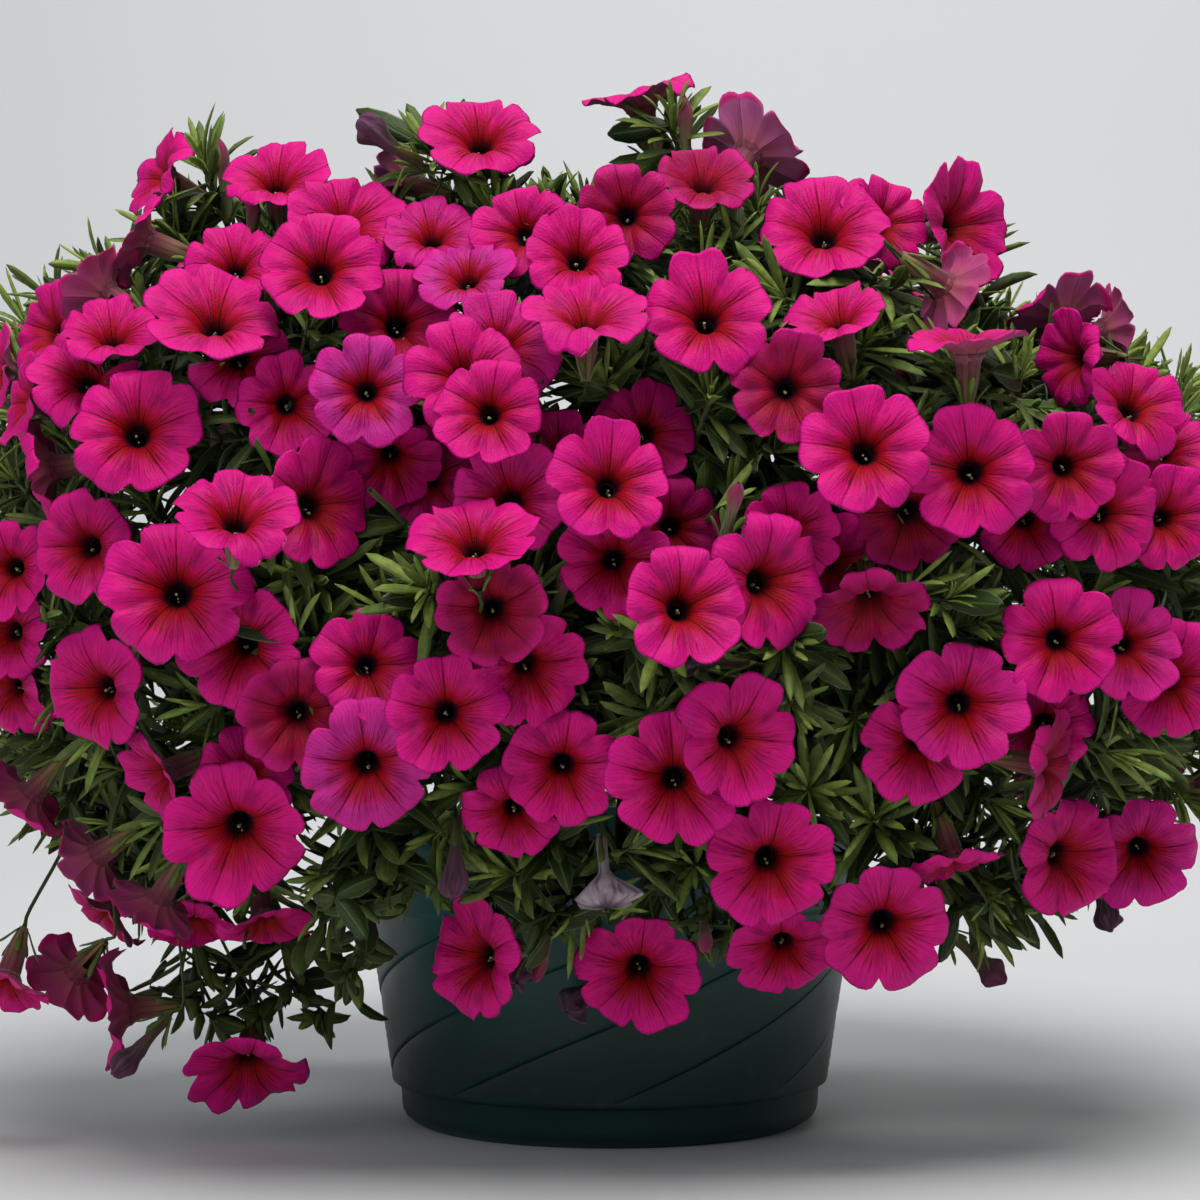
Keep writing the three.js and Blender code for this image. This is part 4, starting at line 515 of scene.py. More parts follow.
# Mesh pieces are gathered here: points, faces, two sets of coordinates and a material for each face
class Piece:
    def __init__(self):
        self.points, self.loops, self.sizes = [], [], []
        self.uv, self.tone, self.slots = [], [], []
        self.count = 0

    def add(self, points, faces, uv, tone, material, wrap=0.0):
        faces = np.asarray(faces, dtype=np.int64)
        flat = faces.reshape(-1)
        corner = np.asarray(uv, dtype=float)[flat].reshape(faces.shape + (2,)).copy()
        if wrap:
            u = corner[..., 0]
            torn = (u.max(axis=1) - u.min(axis=1)) > wrap / 2
            low = torn[:, None] & (u < wrap / 2)
            u[low] += wrap
        tone = np.asarray(tone, dtype=float)
        tones = tone[flat] if tone.ndim == 2 else np.tile(tone, (len(flat), 1))
        self.points.append(np.asarray(points, dtype=float))
        self.loops.append(flat + self.count)
        self.sizes.append(np.full(len(faces), faces.shape[1]))
        self.uv.append(corner.reshape(-1, 2))
        self.tone.append(tones)
        self.slots.append(np.full(len(faces), material))
        self.count += len(points)

    def build(self, name, materials, slot, nodes, smooth=True):
        mesh = bpy.data.meshes.new(name)
        points = np.vstack(self.points) * MM
        loops = np.concatenate(self.loops)
        sizes = np.concatenate(self.sizes)
        mesh.vertices.add(len(points))
        mesh.vertices.foreach_set("co", points.astype(np.float32).ravel())
        mesh.loops.add(len(loops))
        mesh.loops.foreach_set("vertex_index", loops.astype(np.int32))
        mesh.polygons.add(len(sizes))
        starts = np.concatenate([[0], np.cumsum(sizes)[:-1]])
        mesh.polygons.foreach_set("loop_start", starts.astype(np.int32))
        mesh.polygons.foreach_set("loop_total", sizes.astype(np.int32))
        mesh.polygons.foreach_set("material_index", np.concatenate(self.slots).astype(np.int32))
        for layer, values in (("UVMap", self.uv), ("tone", self.tone)):
            data = mesh.uv_layers.new(name=layer).data
            data.foreach_set("uv", np.vstack(values).astype(np.float32).ravel())
        mesh.update(calc_edges=True)
        mesh.validate()
        mesh.polygons.foreach_set("use_smooth", np.full(len(mesh.polygons), smooth))
        for material in materials:
            mesh.materials.append(material)
        obj = bpy.data.objects.new(name, mesh)
        bpy.context.scene.collection.objects.link(obj)
        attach(obj, "root")
        if nodes:
            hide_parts(*nodes)
        return obj


def band(count, rows, start=0):
    """Quads between rows of a ring with count points each."""
    i = np.arange(count)
    j = (i + 1) % count
    return np.vstack([np.stack([start + r * count + i, start + r * count + j,
                                start + (r + 1) * count + j, start + (r + 1) * count + i], axis=1)
                      for r in range(rows)])


def tube_mesh(path, radii, sides, closed=True):
    """Points, quads and coordinates of a round rod along a path."""
    path = np.asarray(path, dtype=float)
    n = len(path)
    ahead = np.gradient(path, axis=0)
    ahead /= np.linalg.norm(ahead, axis=1)[:, None]
    side = across(ahead[0])[0]
    angle = np.arange(sides) * 2 * math.pi / sides
    points, uv = [], []
    length = 0.0
    for k in range(n):
        side = unit(side - ahead[k] * side.dot(ahead[k]))
        over = np.cross(ahead[k], side)
        points.append(path[k] + radii[k] * (np.outer(np.cos(angle), side) + np.outer(np.sin(angle), over)))
        length += np.linalg.norm(path[k] - path[k - 1]) if k else 0.0
        uv.append(np.stack([angle / (2 * math.pi), np.full(sides, length)], axis=1))
    points, uv = np.vstack(points), np.vstack(uv)
    faces = band(sides, n - 1)
    return points, faces, uv


def curve(control, count):
    """A smooth path through a few points."""
    control = [np.asarray(p, dtype=float) for p in control]
    ends = [2 * control[0] - control[1]] + control + [2 * control[-1] - control[-2]]
    out = []
    spans = len(control) - 1
    for k in range(count):
        x = k / (count - 1) * spans
        i = min(int(x), spans - 1)
        t = x - i
        p0, p1, p2, p3 = ends[i:i + 4]
        out.append(0.5 * (2 * p1 + (p2 - p0) * t + (2 * p0 - 5 * p1 + 4 * p2 - p3) * t ** 2
                          + (3 * p1 - p0 - 3 * p2 + p3) * t ** 3))
    return np.array(out)


def smooth_step(low, high, x):
    t = np.clip((x - low) / (high - low), 0, 1)
    return t * t * (3 - 2 * t)


# Material numbers within the two pieces of a spray
FRONT, BACK, TUBE, THROAT, WITHER = range(5)
GREEN, ORGAN = range(2)

LOBES = 5
FINE_TURNS = [0, .035, .08, .14, .22, .31, .4, .47, .53, .6, .69, .78, .86, .92, .965]
COARSE_TURNS = [0, .06, .16, .32, .5, .68, .84, .94]


def rim_heights(bloom, turns):
    """Heights of the rim, eased between those that the solid's rim has."""
    radius, cup, i = bloom["radius"], bloom["cup"], bloom["index"]
    knots, values = [], []
    for lobe in range(LOBES):
        steps = ((0, 0.0), (1, 0.3), (2, 0.7)) if bloom["front"] else ((0, 0.0), (1, 0.5))
        for step, at in steps:
            knots.append(lobe + at)
            values.append(radius * (cup + spread(i, 20 + lobe * 3 + step, -0.07, 0.07)))
    knots.append(LOBES)
    values.append(values[0])
    knots, values = np.array(knots), np.array(values)
    k = np.clip(np.searchsorted(knots, turns, side="right") - 1, 0, len(knots) - 2)
    t = (turns - knots[k]) / (knots[k + 1] - knots[k])
    t = t * t * (3 - 2 * t)
    return values[k] * (1 - t) + values[k + 1] * t


def bloom_frame(bloom):
    """Directions of turn 0 and a quarter turn on, with the rib of the first petal upwards."""
    n = bloom["normal"]
    up = UP + np.array([0.0, 0.35, 0.0])
    up = unit(up - n * up.dot(n))
    over = np.cross(up, n)
    a = -math.pi / LOBES + spread(bloom["index"], 111, -0.3, 0.3)
    side = up * math.cos(a) + over * math.sin(a)
    return side, np.cross(side, n)


def solid_turns(bloom, angle):
    """Where directions of the finer bloom lie on the solid's rim, in petals."""
    side, over = bloom_frame(bloom)
    first, second = across(bloom["normal"])
    x = np.cos(angle) * side.dot(first) + np.sin(angle) * over.dot(first)
    y = np.cos(angle) * side.dot(second) + np.sin(angle) * over.dot(second)
    return ((np.arctan2(y, x) / (2 * math.pi) - bloom["spin"]) * LOBES) % LOBES


TRUMPET_DEPTHS = [-1.0, 1.5, 4.0, 7.0, 11.0, 14.0, 18.0, 23.0]
FUNNEL_DEPTH = 0.42
FUNNEL_WIDTH = 0.13


def funnel(x):
    """How deep the face sinks towards the mouth, as a share of the bloom's radius."""
    return FUNNEL_DEPTH * np.exp(-(x - 0.12) / FUNNEL_WIDTH)


def trumpet_radii(bloom):
    R = bloom["radius"]
    return [0.48 * R, 0.42 * R, 0.3 * R, max(0.23 * R, 6.0), 5.6, 5.2, 4.6, 4.0]


def clear_of_trumpets(points, faces, bloom):
    """Which faces of a bloom stay clear of the open funnels of its neighbours."""
    kept = np.ones(len(faces), bool)
    count = len(points)
    points = np.vstack([points, points[faces].mean(axis=1)])
    samples = np.hstack([faces, count + np.arange(len(faces))[:, None]])
    for other in blooms:
        apart = np.linalg.norm(other["centre"] - bloom["centre"])
        if other is bloom or other["kind"] != "open" or apart > bloom["radius"] + 20:
            continue
        q = points - other["centre"]
        height = q @ other["normal"]
        distance = np.linalg.norm(q - np.outer(height, other["normal"]), axis=1)
        inside = (height < 1) & (height > -23) & (distance < np.interp(-height, TRUMPET_DEPTHS, trumpet_radii(other)))
        kept &= ~inside[samples].any(axis=1)
    return kept


def behind_faces(points, faces, bloom):
    """Which faces of a tube don't come out through the face of a neighbour."""
    kept = np.ones(len(faces), bool)
    for other in blooms:
        apart = np.linalg.norm(other["centre"] - bloom["centre"])
        if other is bloom or other["kind"] != "open" or apart > other["radius"] + 34:
            continue
        q = points - other["centre"]
        height = q @ other["normal"]
        distance = np.linalg.norm(q - np.outer(height, other["normal"]), axis=1)
        above = height - other["cup"] * np.maximum(0, distance - MOUTH * other["radius"])
        through = (distance < 0.95 * other["radius"]) & (above > -2.5) & (above < 9)
        kept &= ~through[faces].any(axis=1)
    return kept


def corolla(piece, bloom):
    i, R, front = bloom["index"], bloom["radius"], bloom["front"]
    side, over = bloom_frame(bloom)
    offsets = np.array(FINE_TURNS if front else COARSE_TURNS)
    turns = (np.arange(LOBES)[:, None] + offsets).ravel()
    n = len(turns)
    angle = turns / LOBES * 2 * math.pi
    part = turns % 1
    lobe = turns.astype(int)
    to_notch = np.minimum(part, 1 - part)
    to_rib = np.abs(part - 0.5)

    # Outline of the rim: a narrow notch between two petals, a bump on either side, flatter at the ribs
    depth = np.array([spread(i, 80 + k, 0.05, 0.13) for k in range(LOBES)])
    near = np.where(part < 0.5, lobe, (lobe + 1) % LOBES)
    reach = np.array([spread(i, 40 + k, 0.92, 1.04) if front else 1.0 for k in range(LOBES)])
    fullness = 1 + (reach[lobe] - 1) * smooth_step(0.05, 0.3, to_notch)
    point = np.array([spread(i, 90 + k, -0.02, 0.03) for k in range(LOBES)])
    edge = fullness - depth[near] * np.exp(-(to_notch / 0.045) ** 2) - 0.1 * np.exp(-(to_notch / 0.14) ** 2)
    edge += (point[lobe] - 0.02) * np.exp(-(to_rib / 0.045) ** 2) - 0.018 * np.cos(4 * math.pi * part)
    teeth = np.array([noise.noise(Vector((a * 3.7, i * 1.7, 4.2))) for a in turns])
    edge = (edge + 0.045 * teeth) * R

    # Rows from the throat out to the rim
    if front:
        rows = np.array([0, .05, .11, .2, .32, .46, .61, .75, .87, .95, 1.0])
        back_rows = np.array([.93, .8, .6, .26, 0.0])
    else:
        rows = np.array([0, .1, .25, .45, .7, .9, 1.0])
        back_rows = np.array([.7, 0.0])
    inner = 0.12 * R
    rim_height = rim_heights(bloom, solid_turns(bloom, angle))
    wave_a, wave_b = spread(i, 95, 0, 6.28), spread(i, 96, 0, 6.28)
    curl = np.array([spread(i, 300 + k, -0.06, 0.34) for k in range(LOBES)])[lobe] * smooth_step(0.0, 0.3, to_notch)
    bend_a, bend_b, bend_turn = spread(i, 98, -0.15, 0.08), spread(i, 99, -0.14, 0.14), spread(i, 100, 0, 6.28)
    ruffle = spread(i, 101, 0.008, 0.024)
    rib_depth = spread(i, 102, 0.014, 0.028)

    def surface(share, lift=0.0):
        rho = inner + (edge - inner) * share
        x = rho / R
        t = np.clip((x - MOUTH) / (1 - MOUTH), 0, None)
        z = -R * funnel(x)
        z = z + bloom["cup"] * R * t ** 0.8 + (rim_height - bloom["cup"] * R) * t ** 2.2
        z = z - curl * R * np.clip((t - 0.6) / 0.4, 0, None) ** 2
        z = z + R * x ** 2 * (bend_a * np.cos(angle - bend_turn) + bend_b * np.cos(2 * (angle - bend_turn)))
        z = z + R * ruffle * t ** 3 * (np.sin(11 * angle + wave_a) + np.sin(17 * angle + wave_b))
        swell = np.exp(-((x - 0.62) / 0.3) ** 2)
        z = z - R * rib_depth * np.exp(-(to_rib / 0.04) ** 2) * (0.3 + swell)
        z = z - R * 0.036 * np.cos(4 * math.pi * part) * swell
        z = z - R * np.exp(-(to_notch / 0.06) ** 2) * t * 0.045
        rough = np.array([noise.noise(Vector((a * 1.9 + 7 * i, s * 3.0, 1.3))) for a, s in zip(turns, x)])
        z = z + R * 0.05 * rough * t
        return rho, z + lift, x

    def placed(rho, z):
        return (bloom["centre"] + np.outer(rho * np.cos(angle), side) + np.outer(rho * np.sin(angle), over)
                + np.outer(z, bloom["normal"]))

    points, uv, at = [], [], []
    for share in rows:
        rho, z, x = surface(share)
        points.append(placed(rho, z))
        uv.append(np.stack([turns, x], axis=1))
        at.append(share)
    for share in back_rows:
        rho, z, x = surface(share)
        thick = 0.45 + 0.5 * (1 - share) + 0.6 * np.exp(-(to_rib / 0.05) ** 2) * (1 - share)
        points.append(placed(rho, z - thick))
        uv.append(np.stack([turns, x], axis=1))
    total_rows = len(rows) + len(back_rows)
    points, uv = np.vstack(points), np.vstack(uv)

    # How far each point lies on the lower side of the bloom
    down = -UP + bloom["normal"] * bloom["normal"][2]
    down = down / max(np.linalg.norm(down), 0.2)
    rel = points - bloom["centre"]
    lower = np.clip(0.5 + 0.5 * (rel @ down) / R, 0, 1)
    tone = np.stack([np.full(len(points), bloom["shade"]), lower], axis=1)

    # A petal that would enter a neighbour's funnel ends there, in front and behind
    faces = band(n, total_rows - 1)
    split = (len(rows) - 1) * n
    kept = clear_of_trumpets(points, faces, bloom).reshape(-1, n)
    kept[:len(rows) - 1] = np.logical_and.accumulate(kept[:len(rows) - 1])
    kept[len(rows) - 1:] = np.logical_and.accumulate(kept[:len(rows) - 2:-1])[::-1]
    kept = kept.ravel()
    piece.add(points, faces[:split][kept[:split]], uv, tone, FRONT, wrap=LOBES)
    # The back faces and the inner seam share the same points
    rest = faces[split:]
    last = (total_rows - 1) * n
    idx = np.arange(n)
    seam = np.stack([last + idx, last + (idx + 1) % n, (idx + 1) % n, idx], axis=1)
    rest = np.vstack([rest[kept[split:]], seam])
    piece.loops.append(rest.reshape(-1) + piece.count - len(points))
    corner = uv[rest.reshape(-1)].reshape(len(rest), 4, 2).copy()
    u = corner[..., 0]
    low = ((u.max(axis=1) - u.min(axis=1)) > 2.5)[:, None] & (u < 2.5)
    u[low] += LOBES
    piece.sizes.append(np.full(len(rest), 4))
    piece.uv.append(corner.reshape(-1, 2))
    piece.tone.append(tone[rest.reshape(-1)])
    piece.slots.append(np.full(len(rest), BACK))

    # Tube outside, and throat inside
    sides = 16 if front else 8
    theta = np.arange(sides) * 2 * math.pi / sides
    ridge = 1 + 0.04 * np.cos(5 * theta - math.pi)
    outer = [(0.3 * R, -1.7 - R * funnel(0.3)), (0.235 * R, -1.8 - R * funnel(0.235)),
             (max(0.18 * R, 5.7), -1.9 - R * funnel(0.18)), (5.3, -14.0), (4.8, -18.5), (4.0, -23.5), (2.3, -30.5)]
    points, uv = [], []
    for k, (r, z) in enumerate(outer):
        r = r * ridge
        points.append(bloom["centre"] + np.outer(r * np.cos(theta), side) + np.outer(r * np.sin(theta), over)
                      + np.outer(np.full(sides, z), bloom["normal"]))
        uv.append(np.stack([theta / (2 * math.pi) * LOBES, np.full(sides, -z / TUBE_LENGTH)], axis=1))
    points.append((bloom["centre"] - bloom["normal"] * 31.0)[None, :])
    uv.append(np.array([[0.0, 1.0]]))
    points, uv = np.vstack(points), np.vstack(uv)
    quads = band(sides, len(outer) - 1)
    kept = behind_faces(points, quads, bloom) & clear_of_trumpets(points, quads, bloom)
    piece.add(points, quads[kept], uv, [bloom["shade"], 0.5], TUBE, wrap=LOBES)
    idx = np.arange(sides)
    cap = np.stack([(len(outer) - 1) * sides + idx, (len(outer) - 1) * sides + (idx + 1) % sides,
                    np.full(sides, len(outer) * sides)], axis=1)
    piece.loops.append(cap.reshape(-1) + piece.count - len(points))
    piece.sizes.append(np.full(sides, 3))
    piece.uv.append(uv[cap.reshape(-1)])
    piece.tone.append(np.tile([bloom["shade"], 0.5], (3 * sides, 1)))
    piece.slots.append(np.full(sides, TUBE))

    throat = [(0.15 * R, -0.02 * R - R * funnel(0.15)), (0.125 * R, -0.02 * R - R * funnel(0.125)), (0.1 * R, -0.53 * R),
              (0.07 * R, -0.64 * R)]
    points, uv = [], []
    for r, z in throat:
        points.append(bloom["centre"] + np.outer(r * np.cos(theta), side) + np.outer(r * np.sin(theta), over)
                      + np.outer(np.full(sides, z), bloom["normal"]))
        uv.append(np.stack([theta / (2 * math.pi) * LOBES, np.full(sides, -z / R)], axis=1))
    points.append((bloom["centre"] - bloom["normal"] * 0.7 * R)[None, :])
    uv.append(np.array([[0.0, 0.7]]))
    points, uv = np.vstack(points), np.vstack(uv)
    quads = band(sides, len(throat) - 1)
    piece.add(points, quads, uv, [bloom["shade"], 0.5], THROAT, wrap=LOBES)
    cap = np.stack([(len(throat) - 1) * sides + idx, (len(throat) - 1) * sides + (idx + 1) % sides,
                    np.full(sides, len(throat) * sides)], axis=1)
    piece.loops.append(cap.reshape(-1) + piece.count - len(points))
    piece.sizes.append(np.full(sides, 3))
    piece.uv.append(uv[cap.reshape(-1)])
    piece.tone.append(np.tile([bloom["shade"], 0.5], (3 * sides, 1)))
    piece.slots.append(np.full(sides, THROAT))


def closed_corolla(piece, bloom):
    """A crumpled, hanging withered bloom, or a furled bud."""
    i, R = bloom["index"], bloom["radius"]
    side, over = bloom_frame(bloom)
    sides = 30
    theta = np.arange(sides) * 2 * math.pi / sides
    if bloom["kind"] == "bud":
        profile = [(2.3, -30.5), (2.9, -27), (2.6, -20), (2.5, -12), (2.9, -6), (R, 0), (R * 0.93, 4), (R * 0.6, 7.5),
                   (0.5, bloom["rise"] + 1)]
        crease, twist, ragged = 0.09, 1.6, 0.0
    else:
        tube = bloom["tube"]
        profile = [(2.3, -30.5), (2.8, -26), (tube * 0.8, -18), (tube * 1.05, -11), (R * 0.75, -5), (R, 0),
                   (R * 0.86, bloom["rise"] * 0.5), (R * 0.5, bloom["rise"]), (0.6, bloom["rise"] * 1.15)]
        crease, twist, ragged = 0.26, 1.1, 0.5
    control = curve([np.array([r, z, 0.0]) for r, z in profile], 22)
    points, uv = [], []
    for k, (r, z, _) in enumerate(control):
        share = k / (len(control) - 1)
        fold = np.cos(5 * theta + twist * share * 5 + draw(i, 120) * 6)
        fine = np.array([noise.noise(Vector((math.cos(a) * 1.6 + i, math.sin(a) * 1.6, z * 0.17))) for a in theta])
        grown = smooth_step(0.15, 0.7, share)
        rr = max(r, 0.3) * (1 + grown * (crease * fold + ragged * fine))
        shift = side * ragged * 2.4 * math.sin(share * 3 + i) * grown
        points.append(bloom["centre"] + shift + np.outer(rr * np.cos(theta), side)
                      + np.outer(rr * np.sin(theta), over) + np.outer(z + ragged * 2 * fine * grown, bloom["normal"]))
        uv.append(np.stack([theta / (2 * math.pi) * LOBES, np.full(sides, share)], axis=1))
    points.append((bloom["centre"] + bloom["normal"] * control[-1][1])[None, :])
    uv.append(np.array([[0.0, 1.0]]))
    points, uv = np.vstack(points), np.vstack(uv)
    kind = 0.15 if bloom["kind"] == "bud" else min(1.0, R / 13)
    tone = [kind, draw(i, 122)]
    piece.add(points, band(sides, len(control) - 1), uv, tone, WITHER, wrap=LOBES)


# A leaf or sepal: widths along it as shares of its full width
OBLONG = ([0, .14, .34, .58, .8, .94, 1], [.18, .36, .76, 1, .92, .55, .08])
OVAL = ([0, .1, .26, .46, .7, .9, 1], [.16, .46, .9, 1, .84, .5, .08])
SEPAL = ([0, .2, .45, .68, .86, .96, 1], [.55, .5, .66, 1, .9, .5, .08])
LEAF_ROWS = [0, .18, .42, .66, .88, 1]
PLAIN_ROWS = [0, .32, .7, 1]


def leaf(piece, root, heading, lift, length, width, tone, material, shape=OBLONG, droop=0.18, fold=0.22,
         curl=0.0, columns=2, wave=0.0, seed=0):
    """A thin closed blade, folded a little along its midrib and drooping towards its tip."""
    wide = unit(np.cross(heading, lift))
    lift = np.cross(wide, heading)
    shown = root[1] < 0 and dome_level(root) > 0.45 and length > 9
    s = np.array(LEAF_ROWS if shown else PLAIN_ROWS)
    half = np.interp(s, shape[0], shape[1]) * width / 2
    bend = s ** 2 * length
    spine = (root + np.outer(s * length, heading) - np.outer(bend * droop, UP) + np.outer(bend * curl, lift))
    c = np.linspace(-1, 1, columns + 1)
    sideways = np.outer(half, c)
    raise_ = np.outer(half, np.abs(c) ** 1.3) * fold
    if wave:
        raise_ = raise_ + wave * width * np.outer(np.sin(s * 9 + seed), np.abs(c)) * 0.5
    top = spine[:, None, :] + sideways[..., None] * wide + raise_[..., None] * lift
    m, k = len(s), columns + 1
    inside = np.zeros((m, k), bool)
    inside[1:-1, 1:-1] = True
    under = top - (0.22 + 0.3 * (1 - np.abs(c))[None, :, None]) * lift
    number = np.arange(m * k).reshape(m, k)
    below = number.copy()
    below[inside] = m * k + np.arange(inside.sum())
    points = np.vstack([top.reshape(-1, 3), under[inside]])
    uv_top = np.stack([np.broadcast_to((c + 1) / 2, (m, k)), np.broadcast_to(s[:, None], (m, k))], axis=-1)
    uv = np.vstack([uv_top.reshape(-1, 2), uv_top[inside]])
    up = np.stack([number[:-1, :-1], number[:-1, 1:], number[1:, 1:], number[1:, :-1]], axis=-1).reshape(-1, 4)
    down = np.stack([below[:-1, :-1], below[1:, :-1], below[1:, 1:], below[:-1, 1:]], axis=-1).reshape(-1, 4)
    piece.add(points, np.vstack([up, down]), uv, tone, material)


def organs(piece, bloom):
    """Stigma and anthers low in the mouth."""
    i, R = bloom["index"], bloom["radius"]
    down = -UP + bloom["normal"] * bloom["normal"][2]
    down = unit(down) if np.linalg.norm(down) > 0.2 else bloom_frame(bloom)[0]
    for k in range(3):
        out = down * spread(i, 130 + k, 0.02, 0.08) * R + bloom_frame(bloom)[0] * spread(i, 134 + k, -0.05, 0.05) * R
        tip = bloom["centre"] + out - bloom["normal"] * spread(i, 138 + k, 0.2, 0.32) * R
        path = curve([tip - bloom["normal"] * 7 - out * 0.5, tip - bloom["normal"] * 1.5, tip], 4)
        size = 0.8 if k == 0 else 0.6
        points, faces, uv = tube_mesh(path, [0.3, 0.32, size, size * 0.55], 6)
        uv[:, 1] = np.repeat([0, 0.2, 0.9, 1.0], 6)
        piece.add(points, faces, uv, [k / 3, draw(i, 142)], ORGAN, wrap=1.0)
        piece.add(points[-6:], [[0, 1, 2], [0, 2, 3], [0, 3, 4], [0, 4, 5]], uv[-6:], [k / 3, 0.5], ORGAN)


def calyx(piece, bloom):
    i = bloom["index"]
    side, over = bloom_frame(bloom)
    n = bloom["normal"]
    base = bloom["centre"] - n * (TUBE_LENGTH + 0.5)
    for k in range(5):
        a = (k + 0.5 + spread(i, 150 + k, -0.1, 0.1)) * 2 * math.pi / 5
        out = side * math.cos(a) + over * math.sin(a)
        open_angle = math.radians(spread(i, 155 + k, 16, 34))
        heading = n * math.cos(open_angle) + out * math.sin(open_angle)
        lift = n * math.sin(open_angle) - out * math.cos(open_angle)
        leaf(piece, base + out * 1.9, heading, lift, spread(i, 160 + k, 14, 19), spread(i, 165 + k, 2.8, 3.8),
             [draw(i, 170 + k), 0.7], GREEN, shape=SEPAL, droop=0.04, fold=0.3, curl=-0.12)


def stalk(piece, bloom, item, spray):
    """The stalk from the spray's hub to the calyx, swelling a little under it."""
    n, base = bloom["normal"], item["base"]
    lead = base - n * 11
    hub = spray["hub"]
    sag = -UP * 0.06 * np.linalg.norm(base - hub)
    path = curve([hub, (hub + lead) / 2 + sag * 0.6, lead, base - n * 3, base + n * 1.5], 13)
    i = bloom["index"]
    thick = spread(i, 175, 0.72, 0.95)
    radii = np.full(13, thick)
    radii[:2] = 1.15
    radii[-4:] = [thick * 1.1, thick * 1.45, 2.1, 2.4]
    points, faces, uv = tube_mesh(path, radii, 6)
    piece.add(points, faces, uv, [draw(i, 176), 0.3], GREEN, wrap=1.0)
    return path


# Leaves keep clear of the open faces, and don't hide them from the front
class Clearance:
    def __init__(self, blooms):
        shown = [b for b in blooms if b["kind"] == "open"]
        self.centre = np.array([b["centre"] for b in shown])
        self.normal = np.array([b["normal"] for b in shown])
        self.radius = np.array([b["radius"] for b in shown])
        self.cup = np.array([b["cup"] for b in shown])
        toward = EYE - self.centre
        self.faced = np.einsum("bk,bk->b", toward, self.normal) > 0
        self.facing = np.einsum("bk,bk->b", self.centre - EYE, self.normal)

    def free(self, line):
        """line holds points along a leaf's midrib."""
        ray = line - EYE
        along = self.facing[:, None] / (self.normal @ ray.T)
        hit = EYE + along[..., None] * ray[None] - self.centre[:, None, :]
        covered = (along > 1.001) & (along < 1.2) & (np.linalg.norm(hit, axis=2) < 0.86 * self.radius[:, None])
        if (covered & self.faced[:, None]).any():
            return False
        near = np.linalg.norm(self.centre - line[len(line) // 2], axis=1) < 90
        if not near.any():
            return True
        q = line[None, :, :] - self.centre[near][:, None, :]
        height = np.einsum("bpk,bk->bp", q, self.normal[near])
        flat = q - height[..., None] * self.normal[near][:, None, :]
        distance = np.linalg.norm(flat, axis=2)
        R = self.radius[near][:, None]
        above = height - self.cup[near][:, None] * np.maximum(0, distance - MOUTH * R)
        within = distance < R * 0.98
        crossing = within & (np.abs(above) < 2.5)
        if crossing.any():
            return False
        sign = (above > 0)
        passes = (sign[:, :-1] != sign[:, 1:]) & (within[:, :-1] | within[:, 1:])
        if passes.any():
            return False
        hides = (distance < R * 0.85) & (above > 0) & (above < 30)
        if hides.any():
            return False
        neck = (height < 0) & (height > -TUBE_LENGTH) & (distance < 5.5)
        return not neck.any()


def leaf_line(root, heading, length, droop, curl, lift):
    s = np.linspace(0.1, 1, 6)
    return root + np.outer(s * length, heading) - np.outer(s ** 2 * length * droop, UP) + np.outer(
        s ** 2 * length * curl, lift)


def try_leaf(piece, root, axis, out, opening, length, width, tone, shape, seed):
    """A leaf that leaves the axis at an angle, opened further where a face is in the way; 1 where it fits."""
    for attempt in range(3):
        a = opening + attempt * 0.3
        heading = axis * math.cos(a) + out * math.sin(a)
        lift = axis * math.sin(a) - out * math.cos(a)
        droop = spread(seed, 180, -0.08, 0.16)
        curl = spread(seed, 181, -0.3, 0.12)
        line = leaf_line(root, heading, length, droop, curl, lift)
        in_pot = (np.hypot(line[:, 0], line[:, 1]) < 137) & (line[:, 2] < POT_HEIGHT + 3)
        if line[:, 2].min() > 16 and not in_pot.any() and guard.free(line):
            leaf(piece, root, heading, lift, length, width, tone, 0, shape=shape, droop=droop, curl=curl,
                 fold=spread(seed, 182, 0.15, 0.6), wave=spread(seed, 183, 0, 0.12), seed=seed)
            return 1
    return 0


def whorl(piece, root, axis, slots, length, ratio, opening, young, seed, shape=OBLONG):
    """Leaves round an axis."""
    side, over = across(axis)
    count = 0
    for k in range(slots):
        key = seed * 7 + k
        a = (k + spread(key, 210, -0.28, 0.28)) * 2 * math.pi / slots + draw(seed, 209) * 6.3
        size = length * spread(key, 211, 0.8, 1.2)
        tone = [draw(key, 212), min(1.0, max(0.0, young + spread(key, 213, -0.18, 0.18)))]
        count += try_leaf(piece, root, axis, side * math.cos(a) + over * math.sin(a),
                          opening + spread(key, 214, -0.25, 0.25), size, size * ratio * spread(key, 215, 0.85, 1.2),
                          tone, shape, key)
    return count


# Rings of a tuft: how far back from the tip, leaves in the ring, their length, width for their length,
# opening from the axis, and how young they are
TUFT = [(15, 5, 34, 0.2, 1.2, 0.45), (9, 5, 34, 0.16, 0.92, 0.7), (5, 5, 32, 0.135, 0.66, 0.9),
        (1, 5, 28, 0.12, 0.42, 1.0), (-2, 3, 18, 0.14, 0.2, 1.0)]
SMALL_TUFT = [(9, 4, 28, 0.21, 1.05, 0.45), (4, 4, 27, 0.16, 0.75, 0.75), (0, 4, 21, 0.14, 0.38, 1.0)]


TRAILING_HEIGHT = 190.0
TRAILING_TUFT = [(20, 3, 21, 0.48, 1.35, 0.25), (11, 3, 19, 0.44, 1.1, 0.35), (4, 3, 16, 0.4, 0.8, 0.5),
                 (0, 2, 11, 0.36, 0.4, 0.7)]


